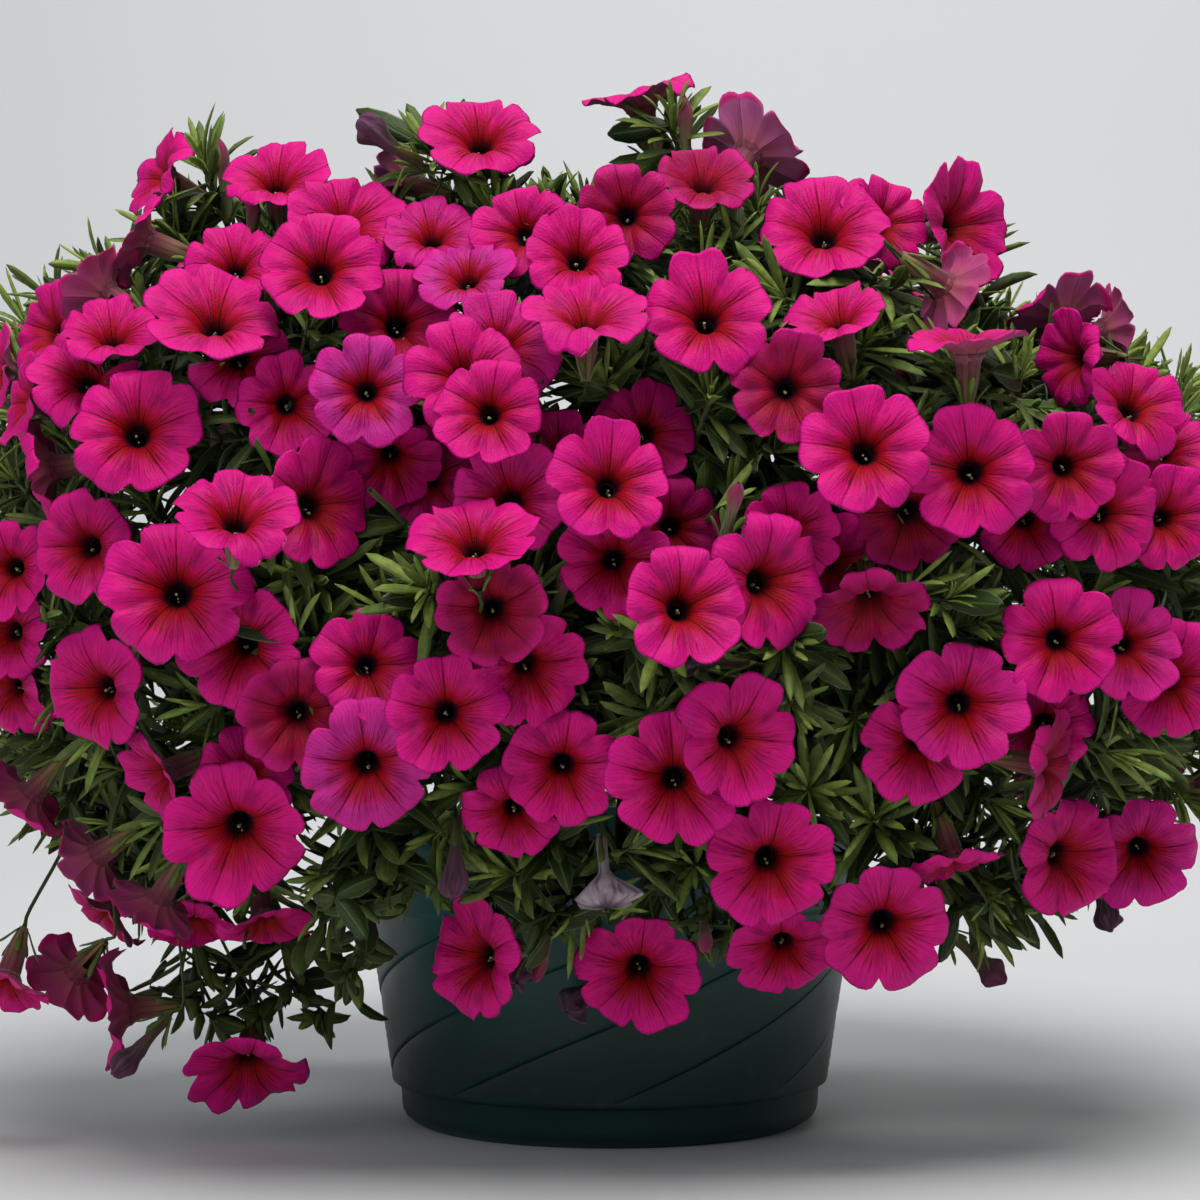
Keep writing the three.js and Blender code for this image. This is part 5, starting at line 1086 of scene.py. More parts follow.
def tuft(piece, tip, axis, rings, seed):
    shape = OVAL if rings is TRAILING_TUFT else OBLONG
    return sum(whorl(piece, tip - axis * back, axis, slots, length, ratio, opening, young, seed * 11 + r, shape)
               for r, (back, slots, length, ratio, opening, young) in enumerate(rings))


def lifted(axis, p):
    """A tip's axis, turned somewhat towards the light."""
    outward = unit(p - np.array([0.0, 0.0, DOME_CENTRE - 60]))
    return unit(axis + outward * 0.7 + UP * 0.35)


def rod(piece, path, start, end, sides, tone, material):
    points, faces, uv = tube_mesh(path, np.linspace(start, end, len(path)), sides)
    piece.add(points, faces, uv, tone, material, wrap=1.0)


def shoot(piece, stem, place, end_t, tip, key, rings):
    """A leafy shoot along its growth line, with pairs of leaves and a tuft at its tip."""
    path = np.array([growth_point(stem["place"] + (place - stem["place"]) * q ** 0.8, 0.2 + (end_t - 0.2) * q)
                     for q in np.linspace(0, 1, 15)])
    if tip is not None:
        path = path + (tip - path[-1]) * smooth_step(0.6, 1.0, np.linspace(0, 1, len(path)))[:, None]
    rod(piece, path, 2.0, 1.3, 6, [draw(key, 190), 0.4], 1)
    steps = np.linalg.norm(np.diff(path, axis=0), axis=1)
    lengths = np.concatenate([[0], np.cumsum(steps)])
    total = lengths[-1]
    at = total - 16.0
    node = count = 0
    while at > total * 0.3 and at > 30:
        k = np.searchsorted(lengths, at) - 1
        f = (at - lengths[k]) / steps[k]
        root = path[k] * (1 - f) + path[k + 1] * f
        age = (total - at) / total
        seed = key * 97 + node
        count += whorl(piece, root, unit(path[k + 1] - path[k]), 2 if node % 3 else 3, 33 - 6 * age,
                       0.22 + 0.18 * age, spread(seed, 206, 0.7, 1.2), 0.45 - 0.35 * age, seed + 9000,
                       OVAL if draw(seed, 203) < 0.2 + 0.6 * age else OBLONG)
        at -= spread(seed, 207, 9, 14)
        node += 1
    count += tuft(piece, path[-1], lifted(unit(path[-1] - path[-2]), path[-1]), rings, key + 300)
    return path, count


# Short side shoots fill the spaces between the blooms, tips just under the plant's outline
FILLERS = 660
FILLER_DEPTHS = [0, 12, 26, 42]


def fillers(pieces, paths):
    owners = np.concatenate([np.full(len(path), stem) for stem, path in paths])
    points = np.vstack([path for _, path in paths])
    count = 0
    for i in range(FILLERS):
        height = 1 - 1.8 * (i + 0.5) / FILLERS
        flat = math.sqrt(1 - height * height)
        p = dome_point(np.array([flat * math.cos(i * GOLDEN_TURN), flat * math.sin(i * GOLDEN_TURN), height]))
        if p[2] < 100:
            continue
        normal = dome_normal(p)
        for deeper in FILLER_DEPTHS:
            tip = p - normal * (spread(i, 400, 12, 34) + deeper)
            tip[2] = min(tip[2], back_top(tip) + spread(i, 402, -6, 14))
            away = tip - points
            distance = np.linalg.norm(away, axis=1)
            distance[(away @ normal < 10) | (distance < 22)] = 1000
            k = int(distance.argmin())
            if distance[k] > 150:
                continue
            start = points[k]
            path = curve([start, start * 0.45 + tip * 0.55 - UP * 3, tip], 6)
            axis = lifted(unit(path[-1] - path[-2]), tip)
            if guard.free(np.linspace(path[3], tip + axis * 8, 6)):
                piece = pieces[owners[k]]
                rod(piece, path, 1.2, 0.8, 5, [draw(i, 401), 0.4], 1)
                behind = tip[1] > 60
                count += tuft(piece, tip, axis, TUFT if i % 3 == 0 and not behind else SMALL_TUFT, 4000 + i)
                for node, f in enumerate((0.78,) if behind else (0.78, 0.55)):
                    q = path[int(f * 5)]
                    count += whorl(piece, q, unit(tip - start), 3, 30, 0.3, 1.1, 0.2, 20000 + i * 3 + node, OVAL)
                break
    return count


# Trailing side shoots with oval leaves, by their tips in the view
TRAILS = [[352, 972], [318, 1015], [300, 960], [215, 1018], [262, 1010], [178, 1000], [358, 905], [245, 948],
          [985, 905]]


def trails(pieces, paths):
    owners = np.concatenate([np.full(len(path), stem) for stem, path in paths])
    points = np.vstack([path for _, path in paths])
    count = 0
    for i, (x, y) in enumerate(TRAILS):
        tip = seen_point(x, y)
        away = tip - points
        distance = np.linalg.norm(away, axis=1) + 3 * np.maximum(0, away[:, 2])
        distance[distance < 45] = 1000
        start = points[int(distance.argmin())]
        path = curve([start, start * 0.5 + tip * 0.5 + UP * 9, tip + UP * 4, tip], 10)
        piece = pieces[owners[int(distance.argmin())]]
        rod(piece, path, 1.3, 0.8, 5, [draw(i, 430), 0.5], 1)
        for node in range(3, 9):
            seed = 80000 + i * 20 + node
            count += whorl(piece, path[node], unit(path[node + 1] - path[node]), 2, 20, spread(seed, 431, 0.32, 0.5),
                           spread(seed, 432, 0.9, 1.4), spread(seed, 433, 0.1, 0.5), seed, OVAL)
        count += tuft(piece, tip, unit(path[-1] - path[-2] + UP * 0.2), TRAILING_TUFT, 90000 + i)
    return count


# Older leaves deep inside close the view through the plant
INNER = 1250


def inner_leaves(pieces, paths):
    owners = np.concatenate([np.full(len(path), stem) for stem, path in paths])
    points = np.vstack([path for _, path in paths])
    order = np.arange(len(points))
    count = 0
    for i in range(INNER):
        k = int(order[int(draw(i, 500) * len(order))])
        root = points[k]
        turn, rise = draw(i, 501) * 2 * math.pi, spread(i, 502, -0.5, 0.8)
        out = np.array([math.cos(turn) * math.cos(rise), math.sin(turn) * math.cos(rise), math.sin(rise)])
        count += try_leaf(pieces[owners[k]], root, out, across(out)[0], 0.2, spread(i, 503, 30, 42),
                          spread(i, 504, 11, 15), [draw(i, 505), spread(i, 506, 0.0, 0.2)], OVAL, 60000 + i)
    return count


# Node materials
def linear(rgb):
    """Red, green and blue from 0 to 255 as the eye sees them, as light."""
    out = [((c / 255 + 0.055) / 1.055) ** 2.4 if c / 255 > 0.04045 else c / 255 / 12.92 for c in rgb]
    return (*out, 1.0)


class Nodes:
    def __init__(self, name, **sockets):
        self.material = bpy.data.materials.new(name)
        self.material.use_nodes = True
        self.tree = self.material.node_tree
        self.tree.nodes.clear()
        self.out = self.new("ShaderNodeOutputMaterial")
        self.shader = self.new("ShaderNodeBsdfPrincipled")
        self.link(self.shader.outputs[0], self.out.inputs["Surface"])
        for key, value in sockets.items():
            self.shader.inputs[key.replace("_", " ")].default_value = value

    def new(self, kind, **props):
        node = self.tree.nodes.new(kind)
        for key, value in props.items():
            setattr(node, key, value)
        return node

    def link(self, a, b):
        self.tree.links.new(a, b)

    def put(self, value, socket):
        if isinstance(value, (int, float)):
            socket.default_value = value
        elif isinstance(value, tuple):
            socket.default_value = value
        else:
            self.link(value, socket)

    def math(self, op, a, b=0.0, c=0.0, clamp=False):
        node = self.new("ShaderNodeMath", operation=op, use_clamp=clamp)
        for socket, value in zip(node.inputs, (a, b, c)):
            self.put(value, socket)
        return node.outputs[0]

    def step(self, low, high, x, to_low=0.0, to_high=1.0):
        node = self.new("ShaderNodeMapRange", interpolation_type="SMOOTHSTEP")
        for name, value in (("Value", x), ("From Min", low), ("From Max", high), ("To Min", to_low),
                            ("To Max", to_high)):
            self.put(value, node.inputs[name])
        return node.outputs["Result"]

    def mix(self, factor, a, b, blend="MIX"):
        node = self.new("ShaderNodeMix", data_type="RGBA", blend_type=blend)
        self.put(factor, node.inputs[0])
        self.put(a, node.inputs[6])
        self.put(b, node.inputs[7])
        return node.outputs[2]

    def uv(self, name):
        node = self.new("ShaderNodeUVMap", uv_map=name)
        parts = self.new("ShaderNodeSeparateXYZ")
        self.link(node.outputs[0], parts.inputs[0])
        return parts.outputs[0], parts.outputs[1]

    def join(self, x, y, z=0.0):
        node = self.new("ShaderNodeCombineXYZ")
        for socket, value in zip(node.inputs, (x, y, z)):
            self.put(value, socket)
        return node.outputs[0]

    def noise(self, vector, scale, detail=2.0, roughness=0.5, distortion=0.0):
        node = self.new("ShaderNodeTexNoise")
        self.put(vector, node.inputs["Vector"])
        node.inputs["Scale"].default_value = scale
        node.inputs["Detail"].default_value = detail
        node.inputs["Roughness"].default_value = roughness
        node.inputs["Distortion"].default_value = distortion
        return node.outputs[0]

    def place(self):
        return self.new("ShaderNodeTexCoord").outputs["Object"]

    def bump(self, height, strength, distance):
        node = self.new("ShaderNodeBump")
        self.put(height, node.inputs["Height"])
        node.inputs["Strength"].default_value = strength
        node.inputs["Distance"].default_value = distance
        self.link(node.outputs[0], self.shader.inputs["Normal"])

    def colour(self, value):
        self.put(value, self.shader.inputs["Base Color"])

    def rough(self, value):
        self.put(value, self.shader.inputs["Roughness"])


def rays(m, u, v, tone, count, bend, low, high):
    """Thin dark rays, count to a petal, that waver and fade in and out."""
    waver = m.noise(m.join(m.math("MULTIPLY", u, 2.5), m.math("MULTIPLY", v, 3.0), m.math("MULTIPLY", tone, 70.0)),
                    1.0, 1.0)
    turn = m.math("ADD", m.math("MULTIPLY", u, count), m.math("MULTIPLY", waver, bend))
    level = m.math("ABSOLUTE", m.math("SUBTRACT", m.math("FRACT", turn), 0.5))
    strength = m.noise(m.join(m.math("MULTIPLY", u, count * 0.5), m.math("MULTIPLY", v, 4.0), tone), 1.0, 1.0)
    return m.math("MULTIPLY", m.step(low, high, level), m.step(0.35, 0.6, strength))


def petal_veins(m, u, v, tone):
    """Distance from the rib, then how dark the rib and the fine veins are."""
    rib = m.math("ABSOLUTE", m.math("SUBTRACT", m.math("FRACT", u), 0.5))
    wobble = m.noise(m.join(m.math("MULTIPLY", v, 5.0), m.math("MULTIPLY", tone, 40.0), u), 1.0)
    rib_bent = m.math("ADD", rib, m.math("MULTIPLY", m.math("SUBTRACT", wobble, 0.5), 0.014))
    width = m.math("ADD", m.math("MULTIPLY", m.math("SUBTRACT", 1.0, v), 0.026), 0.006)
    main = m.step(width, m.math("MULTIPLY", width, 0.3), rib_bent)
    coarse = m.math("MULTIPLY", rays(m, u, v, tone, 9.0, 1.5, 0.22, 0.04), m.step(1.0, 0.5, v, 0.2, 1.0))
    dense = m.math("MULTIPLY", rays(m, u, v, tone, 19.0, 2.6, 0.26, 0.08), m.step(0.3, 0.6, v, 0.3, 1.0))
    return rib, main, m.math("MAXIMUM", coarse, m.math("MULTIPLY", dense, 0.6))


def petal_front():
    m = Nodes("petal_front", Roughness=0.58, Sheen_Weight=0.06, Sheen_Roughness=0.4)
    m.shader.inputs["Sheen Tint"].default_value = linear((255, 120, 220))
    m.shader.inputs["Specular IOR Level"].default_value = 0.16
    u, v = m.uv("UVMap")
    tone, lower = m.uv("tone")
    rib, main, fine = petal_veins(m, u, v, tone)
    blotch = m.noise(m.join(m.math("MULTIPLY", u, 1.4), m.math("MULTIPLY", v, 3.0),
                            m.math("MULTIPLY", tone, 30.0)), 1.0, 2.0)
    pink = m.mix(m.step(0.55, 1.0, tone), linear((214, 10, 122)), linear((196, 44, 148)))
    # Low tones turn the bloom dark red: partly its own colour, partly painted shade for blooms that sit in shade
    pink = m.mix(m.step(0.38, 0.0, tone), pink, linear((142, 2, 58)))
    pink = m.mix(m.step(0.35, 0.75, blotch, 0.0, 0.45), pink, linear((176, 8, 106)))
    edge = m.mix(m.step(0.7, 1.0, v, 0.0, 0.5), pink, linear((232, 22, 150)))
    # Puckered, darker patches between the ribs
    patch = m.math("MULTIPLY", m.step(0.3, 0.44, v), m.step(0.74, 0.56, v))
    patch = m.math("MULTIPLY", patch, m.math("MULTIPLY", m.step(0.3, 0.46, rib), m.step(0.35, 0.6, blotch)))
    body = m.mix(m.math("MULTIPLY", patch, 0.5), edge, linear((128, 6, 84)))
    # Red runs out from the throat along the veins, further on the lower petals and on dark blooms
    reach = m.math("ADD", v, m.math("MULTIPLY", rib, 0.3))
    for value, share in ((lower, 0.2), (fine, 0.16), (main, 0.2)):
        reach = m.math("SUBTRACT", reach, m.math("MULTIPLY", value, share))
    reach = m.math("ADD", reach, m.math("MULTIPLY", m.math("SUBTRACT", blotch, 0.5), 0.24))
    body = m.mix(m.step(0.64, 0.28, reach, 0.0, 0.8), body, linear((172, 2, 44)))
    # The red zone is darker on low tones: partly own colour, partly painted shade
    body = m.mix(m.step(0.46, 0.18, reach), body, m.mix(m.step(0.4, 0.0, tone), linear((160, 0, 6)),
                                                        linear((112, 0, 8))))
    body = m.mix(m.math("MULTIPLY", fine, m.step(1.0, 0.3, v, 0.4, 0.8)), body, linear((104, 0, 36)))
    body = m.mix(m.math("MULTIPLY", main, m.step(1.0, 0.4, v, 0.4, 0.9)), body, linear((78, 2, 26)))
    # Dark streaks run into the mouth
    mouth = m.math("SUBTRACT", v, m.math("MULTIPLY", m.math("MAXIMUM", fine, main), 0.1))
    mouth = m.math("ADD", mouth, m.math("MULTIPLY", m.math("SUBTRACT", blotch, 0.5), 0.08))
    body = m.mix(m.step(0.25, 0.13, mouth), body, linear((30, 2, 4)))
    m.colour(body)
    silk = m.noise(m.join(m.math("MULTIPLY", u, 30.0), m.math("MULTIPLY", v, 6.0), tone), 1.0, 1.0)
    crease = m.step(0.03, 0.0, rib)
    grain = m.noise(m.place(), 1100.0, 1.0)
    height = m.math("SUBTRACT", m.math("ADD", m.math("MULTIPLY", grain, 0.7), silk), crease)
    m.bump(height, 0.6, 0.0007)
    return m.material


def petal_back():
    m = Nodes("petal_back", Roughness=0.7, Sheen_Weight=0.12, Sheen_Roughness=0.45)
    m.shader.inputs["Specular IOR Level"].default_value = 0.25
    u, v = m.uv("UVMap")
    tone, lower = m.uv("tone")
    rib, main, fine = petal_veins(m, u, v, tone)
    base = m.mix(m.step(0.2, 0.9, tone), linear((172, 28, 100)), linear((176, 88, 140)))
    base = m.mix(m.step(0.7, 0.25, v, 0.0, 0.8), base, linear((150, 74, 76)))
    base = m.mix(m.math("MULTIPLY", fine, 0.3), base, linear((92, 24, 70)))
    base = m.mix(m.math("MULTIPLY", main, 0.8), base, linear((84, 30, 48)))
    m.colour(m.mix(m.step(0.86, 0.96, v), base, linear((190, 14, 112))))
    m.bump(m.step(0.05, 0.0, rib), 0.35, 0.0008)
    return m.material


def petal_tube():
    m = Nodes("petal_tube", Roughness=0.65, Sheen_Weight=0.3)
    m.shader.inputs["Specular IOR Level"].default_value = 0.3
    u, v = m.uv("UVMap")
    tone, lower = m.uv("tone")
    part = m.math("FRACT", m.math("MULTIPLY", u, 2.0))
    stripe = m.step(0.22, 0.05, m.math("ABSOLUTE", m.math("SUBTRACT", part, 0.5)))
    base = m.mix(m.step(0.2, 0.95, v), linear((112, 40, 58)), linear((132, 110, 64)))
    base = m.mix(m.math("MULTIPLY", stripe, 0.6), base, linear((78, 20, 32)))
    m.colour(base)
    m.bump(m.noise(m.place(), 900.0, 2.0), 0.3, 0.0006)
    return m.material


def petal_throat():
    m = Nodes("petal_throat", Roughness=0.6)
    m.shader.inputs["Specular IOR Level"].default_value = 0.2
    u, v = m.uv("UVMap")
    part = m.math("FRACT", m.math("MULTIPLY", u, 3.0))
    stripe = m.step(0.3, 0.1, m.math("ABSOLUTE", m.math("SUBTRACT", part, 0.5)))
    # Painted shade: the throat turns darker deeper in, over its own dark maroon
    base = m.mix(m.step(0.3, 0.6, v), linear((58, 4, 6)), linear((30, 10, 6)))
    m.colour(m.mix(m.math("MULTIPLY", stripe, 0.6), base, linear((16, 3, 4))))
    m.bump(m.noise(m.place(), 700.0, 2.0), 0.2, 0.0005)
    return m.material


def petal_withered():
    m = Nodes("petal_withered", Roughness=0.75, Sheen_Weight=0.15)
    u, v = m.uv("UVMap")
    tone, other = m.uv("tone")
    streak = m.noise(m.join(m.math("MULTIPLY", u, 5.0), m.math("MULTIPLY", v, 1.5), m.math("MULTIPLY", other, 50.0)),
                     1.0, 3.0)
    dead = m.mix(m.step(0.4, 0.62, streak), linear((34, 14, 20)), linear((88, 36, 80)))
    dead = m.mix(m.step(0.55, 0.2, v), dead, linear((70, 44, 34)))
    pale = m.mix(m.step(0.35, 0.6, streak), linear((104, 84, 104)), linear((168, 150, 160)))
    dead = m.mix(m.step(0.75, 0.95, tone), dead, m.mix(m.step(0.8, 0.95, v), pale, linear((52, 10, 44))))
    bud = m.mix(m.step(0.25, 0.85, v), linear((112, 122, 72)), linear((148, 34, 84)))
    bud = m.mix(m.step(0.5, 0.65, streak, 0.0, 0.5), bud, linear((96, 20, 52)))
    m.colour(m.mix(m.step(0.3, 0.5, tone), bud, dead))
    m.bump(streak, 0.5, 0.0012)
    return m.material


def leaf_green():
    m = Nodes("leaf_green", Roughness=0.52, Sheen_Weight=0.07, Sheen_Roughness=0.5)
    m.shader.inputs["Sheen Tint"].default_value = linear((190, 205, 150))
    m.shader.inputs["Specular IOR Level"].default_value = 0.35
    u, v = m.uv("UVMap")
    tone, young = m.uv("tone")
    mid = m.math("ABSOLUTE", m.math("SUBTRACT", u, 0.5))
    base = m.mix(m.math("POWER", young, 2.2), linear((19, 40, 8)), linear((160, 186, 84)))
    base = m.mix(m.step(0.3, 1.0, tone, 0.0, 0.4), base, linear((46, 80, 18)))
    mottle = m.noise(m.place(), 260.0, 3.0)
    base = m.mix(m.step(0.35, 0.7, mottle, 0.0, 0.35), base, linear((28, 44, 14)))
    # Side veins leave the midrib forwards
    run = m.math("SUBTRACT", m.math("MULTIPLY", v, 9.0), m.math("MULTIPLY", mid, 7.0))
    side = m.step(0.16, 0.04, m.math("ABSOLUTE", m.math("SUBTRACT", m.math("FRACT", run), 0.5)))
    rib = m.step(0.06, 0.02, mid)
    base = m.mix(m.math("MULTIPLY", side, 0.22), base, linear((92, 116, 50)))
    base = m.mix(m.math("MULTIPLY", rib, 0.4), base, linear((116, 138, 72)))
    base = m.mix(m.step(0.42, 0.5, mid, 0.0, 0.6), base, linear((138, 156, 92)))
    m.colour(base)
    height = m.math("SUBTRACT", m.math("MULTIPLY", m.noise(m.place(), 1200.0, 2.0), 0.5),
                    m.math("ADD", side, m.math("MULTIPLY", rib, 1.5)))
    m.bump(height, 0.4, 0.0008)
    return m.material


def stem_green(name="stem_green"):
    m = Nodes(name, Roughness=0.65, Sheen_Weight=0.2, Sheen_Roughness=0.5)
    m.shader.inputs["Sheen Tint"].default_value = linear((205, 215, 170))
    tone, young = m.uv("tone")
    base = m.mix(tone, linear((58, 78, 28)), linear((84, 98, 40)))
    base = m.mix(m.step(0.4, 0.7, m.noise(m.place(), 120.0, 3.0), 0.0, 0.6), base, linear((96, 74, 50)))
    m.colour(base)
    m.bump(m.noise(m.place(), 1400.0, 2.0), 0.5, 0.0008)
    return m.material


def organ_pale():
    m = Nodes("organ_pale", Roughness=0.5)
    u, v = m.uv("UVMap")
    tone, other = m.uv("tone")
    tip = m.mix(m.step(0.2, 0.4, tone), linear((150, 158, 104)), linear((132, 124, 110)))
    m.colour(m.mix(m.step(0.3, 0.8, v), linear((60, 30, 34)), tip))
    m.bump(m.noise(m.place(), 1800.0, 2.0), 0.3, 0.0005)
    return m.material


def pot_plastic():
    m = Nodes("pot_plastic", Metallic=0.0, Coat_Weight=0.0)
    m.shader.inputs["Specular IOR Level"].default_value = 0.32
    place = m.place()
    parts = m.new("ShaderNodeSeparateXYZ")
    m.link(place, parts.inputs[0])
    # Painted light: the pot turns a lighter teal towards the top, most on its left side, as if lit from the upper left
    height = m.math("MULTIPLY", m.step(0.03, 0.15, parts.outputs[2]), m.step(0.1, -0.12, parts.outputs[0], 0.35, 1.0))
    cloud = m.noise(place, 9.0, 4.0, 0.6)
    base = m.mix(cloud, linear((4, 36, 31)), linear((12, 52, 46)))
    base = m.mix(m.math("MULTIPLY", height, 0.9), base, linear((58, 112, 112)))
    dust = m.noise(place, 60.0, 5.0, 0.65)
    base = m.mix(m.step(0.55, 0.8, dust, 0.0, 0.12), base, linear((84, 110, 104)))
    m.colour(base)
    m.rough(m.step(0.3, 0.7, m.noise(place, 24.0, 4.0), 0.36, 0.5))
    m.bump(m.noise(place, 700.0, 3.0), 0.12, 0.0006)
    return m.material


def soil_brown():
    m = Nodes("soil_brown", Roughness=0.95)
    place = m.place()
    grain = m.noise(place, 420.0, 4.0, 0.7)
    base = m.mix(m.step(0.35, 0.65, grain), linear((38, 28, 20)), linear((78, 58, 42)))
    base = m.mix(m.step(0.66, 0.72, m.noise(place, 150.0, 2.0), 0.0, 0.8), base, linear((120, 94, 66)))
    m.colour(base)
    m.bump(grain, 0.9, 0.003)
    return m.material


# Pot, finer than its solid, with slanted flutes pressed into its wall
FLUTES = 8
FLUTE_DEPTH = 1.3
FLUTE_SLANT = 1.13


def pot_piece(material):
    piece = Piece()
    wall = lambda z: 111.5 + 0.147 * (z - 22.5)
    outer = [(0, 0.6), (60, 0.6), (92, 0.6), (94, 0.0), (97.2, 0.0), (98.2, 0.35), (101.5, 2.0), (104.6, 4.4),
             (106.0, 7.0), (106.5, 10), (107, 19.6), (107.4, 20.4), (108.6, 20.9), (110.4, 21.2), (111.2, 21.7),
             (wall(22.8), 22.8)]
    flute_start = len(outer)
    rows = 18
    outer += [(wall(24 + (111 - 24) * k / rows), 24 + (111 - 24) * k / rows) for k in range(rows + 1)]
    flute_end = len(outer)
    outer += [(wall(112.4), 112.4), (wall(113.4) + 0.5, 113.4), (wall(114.2) + 1.4, 114.2), (wall(116) + 1.6, 116),
              (wall(129) + 1.6, 129), (wall(129.8) + 1.9, 129.8), (wall(131) + 1.9, 131), (wall(131.8) + 1.6, 131.8),
              (wall(144) + 1.6, 144), (wall(145.2) + 1.7, 145.2), (wall(146) + 2.2, 146.0), (wall(149) + 2.3, 148.9),
              (wall(150) + 2.0, 149.8), (wall(150) + 0.9, 150.0), (wall(150) - 1.2, 150.0),
              (wall(150) - 2.2, 149.6), (wall(149) - 2.4, 148.4), (wall(137) - 2.4, 137.0), (wall(120) - 2.4, 120.0)]
    # Columns lie closer at a groove, which is steep on one side and eases out on the other
    place = np.array([0, .012, .025, .04, .06, .09, .14, .2, .28, .37, .46, .55, .64, .73, .82, .9, .95, .97, .985])
    groove = np.maximum(np.exp(-np.minimum(place, 1 - place) / 0.012), 0.6 * np.exp(-place / 0.1))
    groove = np.tile(groove, FLUTES)
    turns = (np.arange(FLUTES)[:, None] + place).ravel() / FLUTES
    columns = len(turns)
    points, uv = [], []
    for k, (r, z) in enumerate(outer):
        theta = turns * 2 * math.pi + math.radians(FLUTE_SLANT * (min(max(z, 22.5), 112.0) - 22.5))
        radius = np.full(columns, float(r))
        if flute_start <= k < flute_end:
            fade = smooth_step(0, 5, z - 23.0) * smooth_step(0, 6, 112.0 - z)
            radius = radius - FLUTE_DEPTH * groove * fade
        points.append(np.stack([radius * np.cos(theta), radius * np.sin(theta), np.full(columns, z)], axis=1))
        uv.append(np.stack([turns, np.full(columns, z / 150)], axis=1))
    points, uv = np.vstack(points), np.vstack(uv)
    piece.add(points, band(columns, len(outer) - 1), uv, [0.5, 0.5], 0, wrap=1.0)
    obj = piece.build("pot_shell", [material], "pot_plastic", ["pot"])
    obj.data.set_sharp_from_angle(angle=math.radians(50))
    return obj


def soil_piece(material):
    piece = Piece()
    rings, columns = 34, 120
    theta = np.arange(columns) * 2 * math.pi / columns
    edge = 125.4
    points, uv = [], []
    for k in range(rings + 1):
        r = edge * (1 - k / (rings + 1))
        x, y = r * np.cos(theta), r * np.sin(theta)
        level = SOIL_TOP - 4.0 * smooth_step(85, 125, np.full(columns, r))
        rough = np.array([noise.noise(Vector((a * 0.09, b * 0.09, 0))) + 0.6 * noise.noise(
            Vector((a * 0.3, b * 0.3, 5))) for a, b in zip(x, y)])
        points.append(np.stack([x, y, level + 1.3 * rough - 0.6], axis=1))
        uv.append(np.stack([x, y], axis=1) / 100)
    points, uv = np.vstack(points), np.vstack(uv)
    piece.add(points, band(columns, rings), uv, [0.5, 0.5], 0)
    for i in range(420):
        r, a = 122 * math.sqrt(draw(i, 300)), draw(i, 301) * 2 * math.pi
        z = SOIL_TOP - 4.0 * float(smooth_step(85, 125, r)) + 0.4
        size = spread(i, 302, 0.9, 2.6)
        centre = np.array([r * math.cos(a), r * math.sin(a), z])
        corners = np.array([[1, 0, 0], [-1, 0, 0], [0, 1, 0], [0, -1, 0], [0, 0, 1], [0, 0, -1]], float)
        corners *= size * np.array([[spread(i, 303 + k, 0.5, 1.1)] for k in range(6)])
        faces = [[0, 2, 4], [2, 1, 4], [1, 3, 4], [3, 0, 4], [2, 0, 5], [1, 2, 5], [3, 1, 5], [0, 3, 5]]
        piece.add(centre + corners, faces, np.zeros((6, 2)), [draw(i, 310), 0.5], 0)
    side = [(edge, SOIL_TOP - 5.0), (edge - 3, SOIL_TOP - 20.0), (105.0, 24.0), (98.0, 12.0), (88.0, 3.0), (1.0, 3.0)]
    points = np.vstack([np.stack([r * np.cos(theta), r * np.sin(theta), np.full(columns, z)], axis=1) for r, z in side])
    piece.add(points[::-1], band(columns, len(side) - 1), np.zeros((len(points), 2)), [0.5, 0.5], 0)
    return piece.build("soil_surface", [material], "potting_mix", ["soil"])


blooms = make_blooms()
stems, sprays = plan_plant(blooms)
guard = Clearance(blooms)

petal_materials = [petal_front(), petal_back(), petal_tube(), petal_throat(), petal_withered()]
green = leaf_green()
stem_material = stem_green()
organ = organ_pale()

leaves = 0
for spray in sprays:
    name = f"flower_spray_{spray['index'] + 1:02d}"
    petals, greens = Piece(), Piece()
    for item in spray["items"]:
        bloom = item["bloom"]
        if bloom["kind"] == "open":
            corolla(petals, bloom)
            if bloom["front"]:
                organs(greens, bloom)
        else:
            closed_corolla(petals, bloom)
        calyx(greens, bloom)
        stalk(greens, bloom, item, spray)
    foot = curve([spray["root"] - spray["heading"] * 2, spray["root"], spray["hub"] + spray["heading"]], 5)
    rod(greens, foot, 1.8, 1.4, 8, [0.5, 0.4], GREEN)
    axis = lifted(spray["heading"], spray["hub"])
    leaves += tuft(greens, spray["hub"] + axis * 4, axis, SMALL_TUFT, 900 + spray["index"])
    petals.build(f"corollas_{spray['index'] + 1:02d}", petal_materials, "petal", [name])
    greens.build(f"stalks_{spray['index'] + 1:02d}", [green, organ], "leaf", [name])

pieces, paths = [], []
for stem in stems:
    piece = Piece()
    seat = growth_point(stem["place"], 0)
    root = curve([seat - UP * 12, seat + UP * 2, growth_point(stem["place"], 0.1), growth_point(stem["place"], 0.21)], 9)
    rod(piece, root, 3.6, 3.0, 10, [0.5, 0.1], 1)
    for spray in stem["sprays"]:
        path, count = shoot(piece, stem, spray["place"], spray["t"], None, spray["index"], SMALL_TUFT)
        paths.append((stem["index"], path[3:]))
        leaves += count
    for rosette in stem["rosettes"]:
        rings = TRAILING_TUFT if rosette["tip"][2] < TRAILING_HEIGHT else TUFT
        path, count = shoot(piece, stem, rosette["place"], 0.9, rosette["tip"], 100 + rosette["index"], rings)
        paths.append((stem["index"], path[3:]))
        leaves += count
    pieces.append(piece)
leaves += fillers(pieces, paths)
leaves += trails(pieces, paths)
leaves += inner_leaves(pieces, paths)
for stem, piece in zip(stems, pieces):
    piece.build(f"leafy_shoots_{stem['index'] + 1:02d}", [green, stem_material], "leaf",
                [f"leafy_stem_{stem['index'] + 1:02d}"])

pot_piece(pot_plastic())
soil_piece(soil_brown())

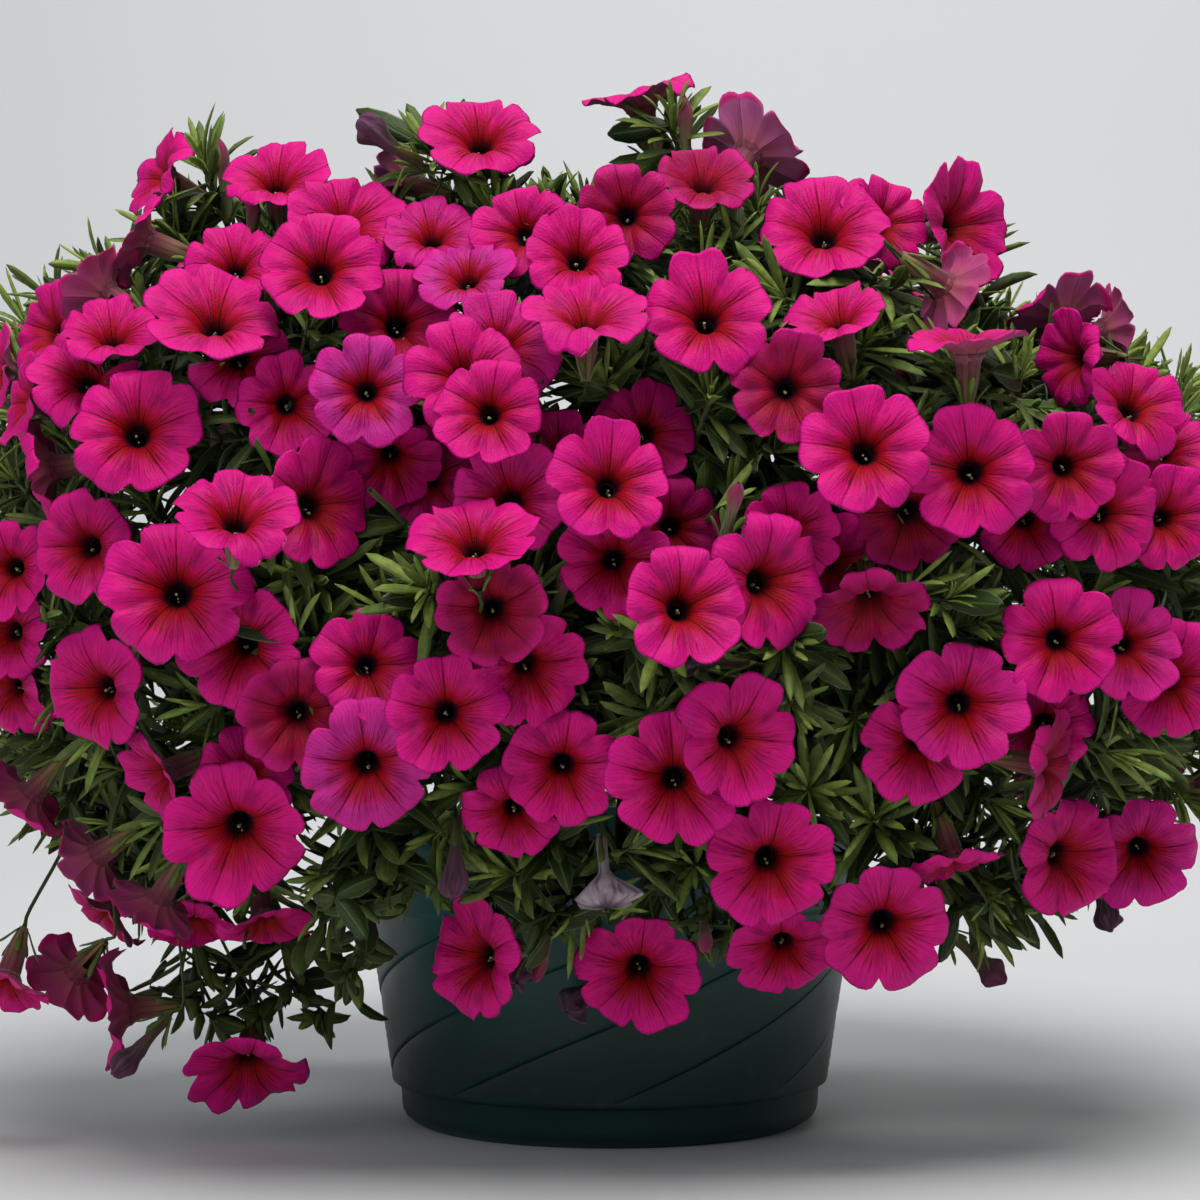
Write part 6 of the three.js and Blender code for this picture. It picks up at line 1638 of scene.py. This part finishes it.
# Floor and backdrop in one sweep
sweep = [(-2.6, 0.0), (0.9, 0.0), (1.6, 0.02), (2.2, 0.12), (2.7, 0.38), (3.0, 0.8), (3.1, 1.4), (3.12, 4.2)]
line = curve([np.array([y, z, 0.0]) for y, z in sweep], 60)
half_width = 5.0
vertices = [(x, float(y), max(0.0, float(z))) for y, z, _ in line for x in (-half_width, half_width)]
faces = [(2 * k, 2 * k + 1, 2 * k + 3, 2 * k + 2) for k in range(len(line) - 1)]
mesh = bpy.data.meshes.new("backdrop")
mesh.from_pydata(vertices, [], faces)
mesh.polygons.foreach_set("use_smooth", np.full(len(mesh.polygons), True))
backdrop = bpy.data.objects.new("backdrop", mesh)
bpy.context.scene.collection.objects.link(backdrop)
paper = Nodes("backdrop_paper", Roughness=0.9)
paper.shader.inputs["Specular IOR Level"].default_value = 0.1
paper.colour(paper.mix(paper.noise(paper.place(), 0.6, 1.0), (0.64, 0.65, 0.66, 1), (0.69, 0.70, 0.71, 1)))
mesh.materials.append(paper.material)


def area_light(name, at, target, size, power, colour):
    data = bpy.data.lights.new(name, "AREA")
    data.shape = "DISK"
    data.size = size
    data.energy = power
    data.color = colour
    lamp = bpy.data.objects.new(name, data)
    lamp.location = at
    lamp.rotation_euler = (Vector(target) - Vector(at)).to_track_quat("-Z", "Y").to_euler()
    bpy.context.scene.collection.objects.link(lamp)


area_light("key", (0.15, -1.12, 2.6), (0.0, 0.0, 0.3), 1.8, 62.0, (1.0, 0.98, 0.96))
area_light("fill", (-1.5, -2.0, 1.3), (0.0, 0.0, 0.3), 1.6, 12.0, (0.94, 0.97, 1.0))
area_light("wash", (0.4, 1.1, 2.4), (0.2, 2.9, 0.8), 1.6, 33.0, (1.0, 1.0, 1.0))

world = bpy.data.worlds.new("world")
world.use_nodes = True
world.node_tree.nodes["Background"].inputs[0].default_value = (0.80, 0.84, 0.88, 1)
world.node_tree.nodes["Background"].inputs[1].default_value = 0.265
bpy.context.scene.world = world
bpy.context.scene.view_settings.view_transform = "Standard"
bpy.context.scene.view_settings.look = "None"

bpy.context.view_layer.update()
triangles = sum(len(p.vertices) - 2 for o in bpy.data.objects if o.type == "MESH" and not o.hide_render
                for p in o.data.polygons)
print("leaves", leaves, "triangles", triangles)
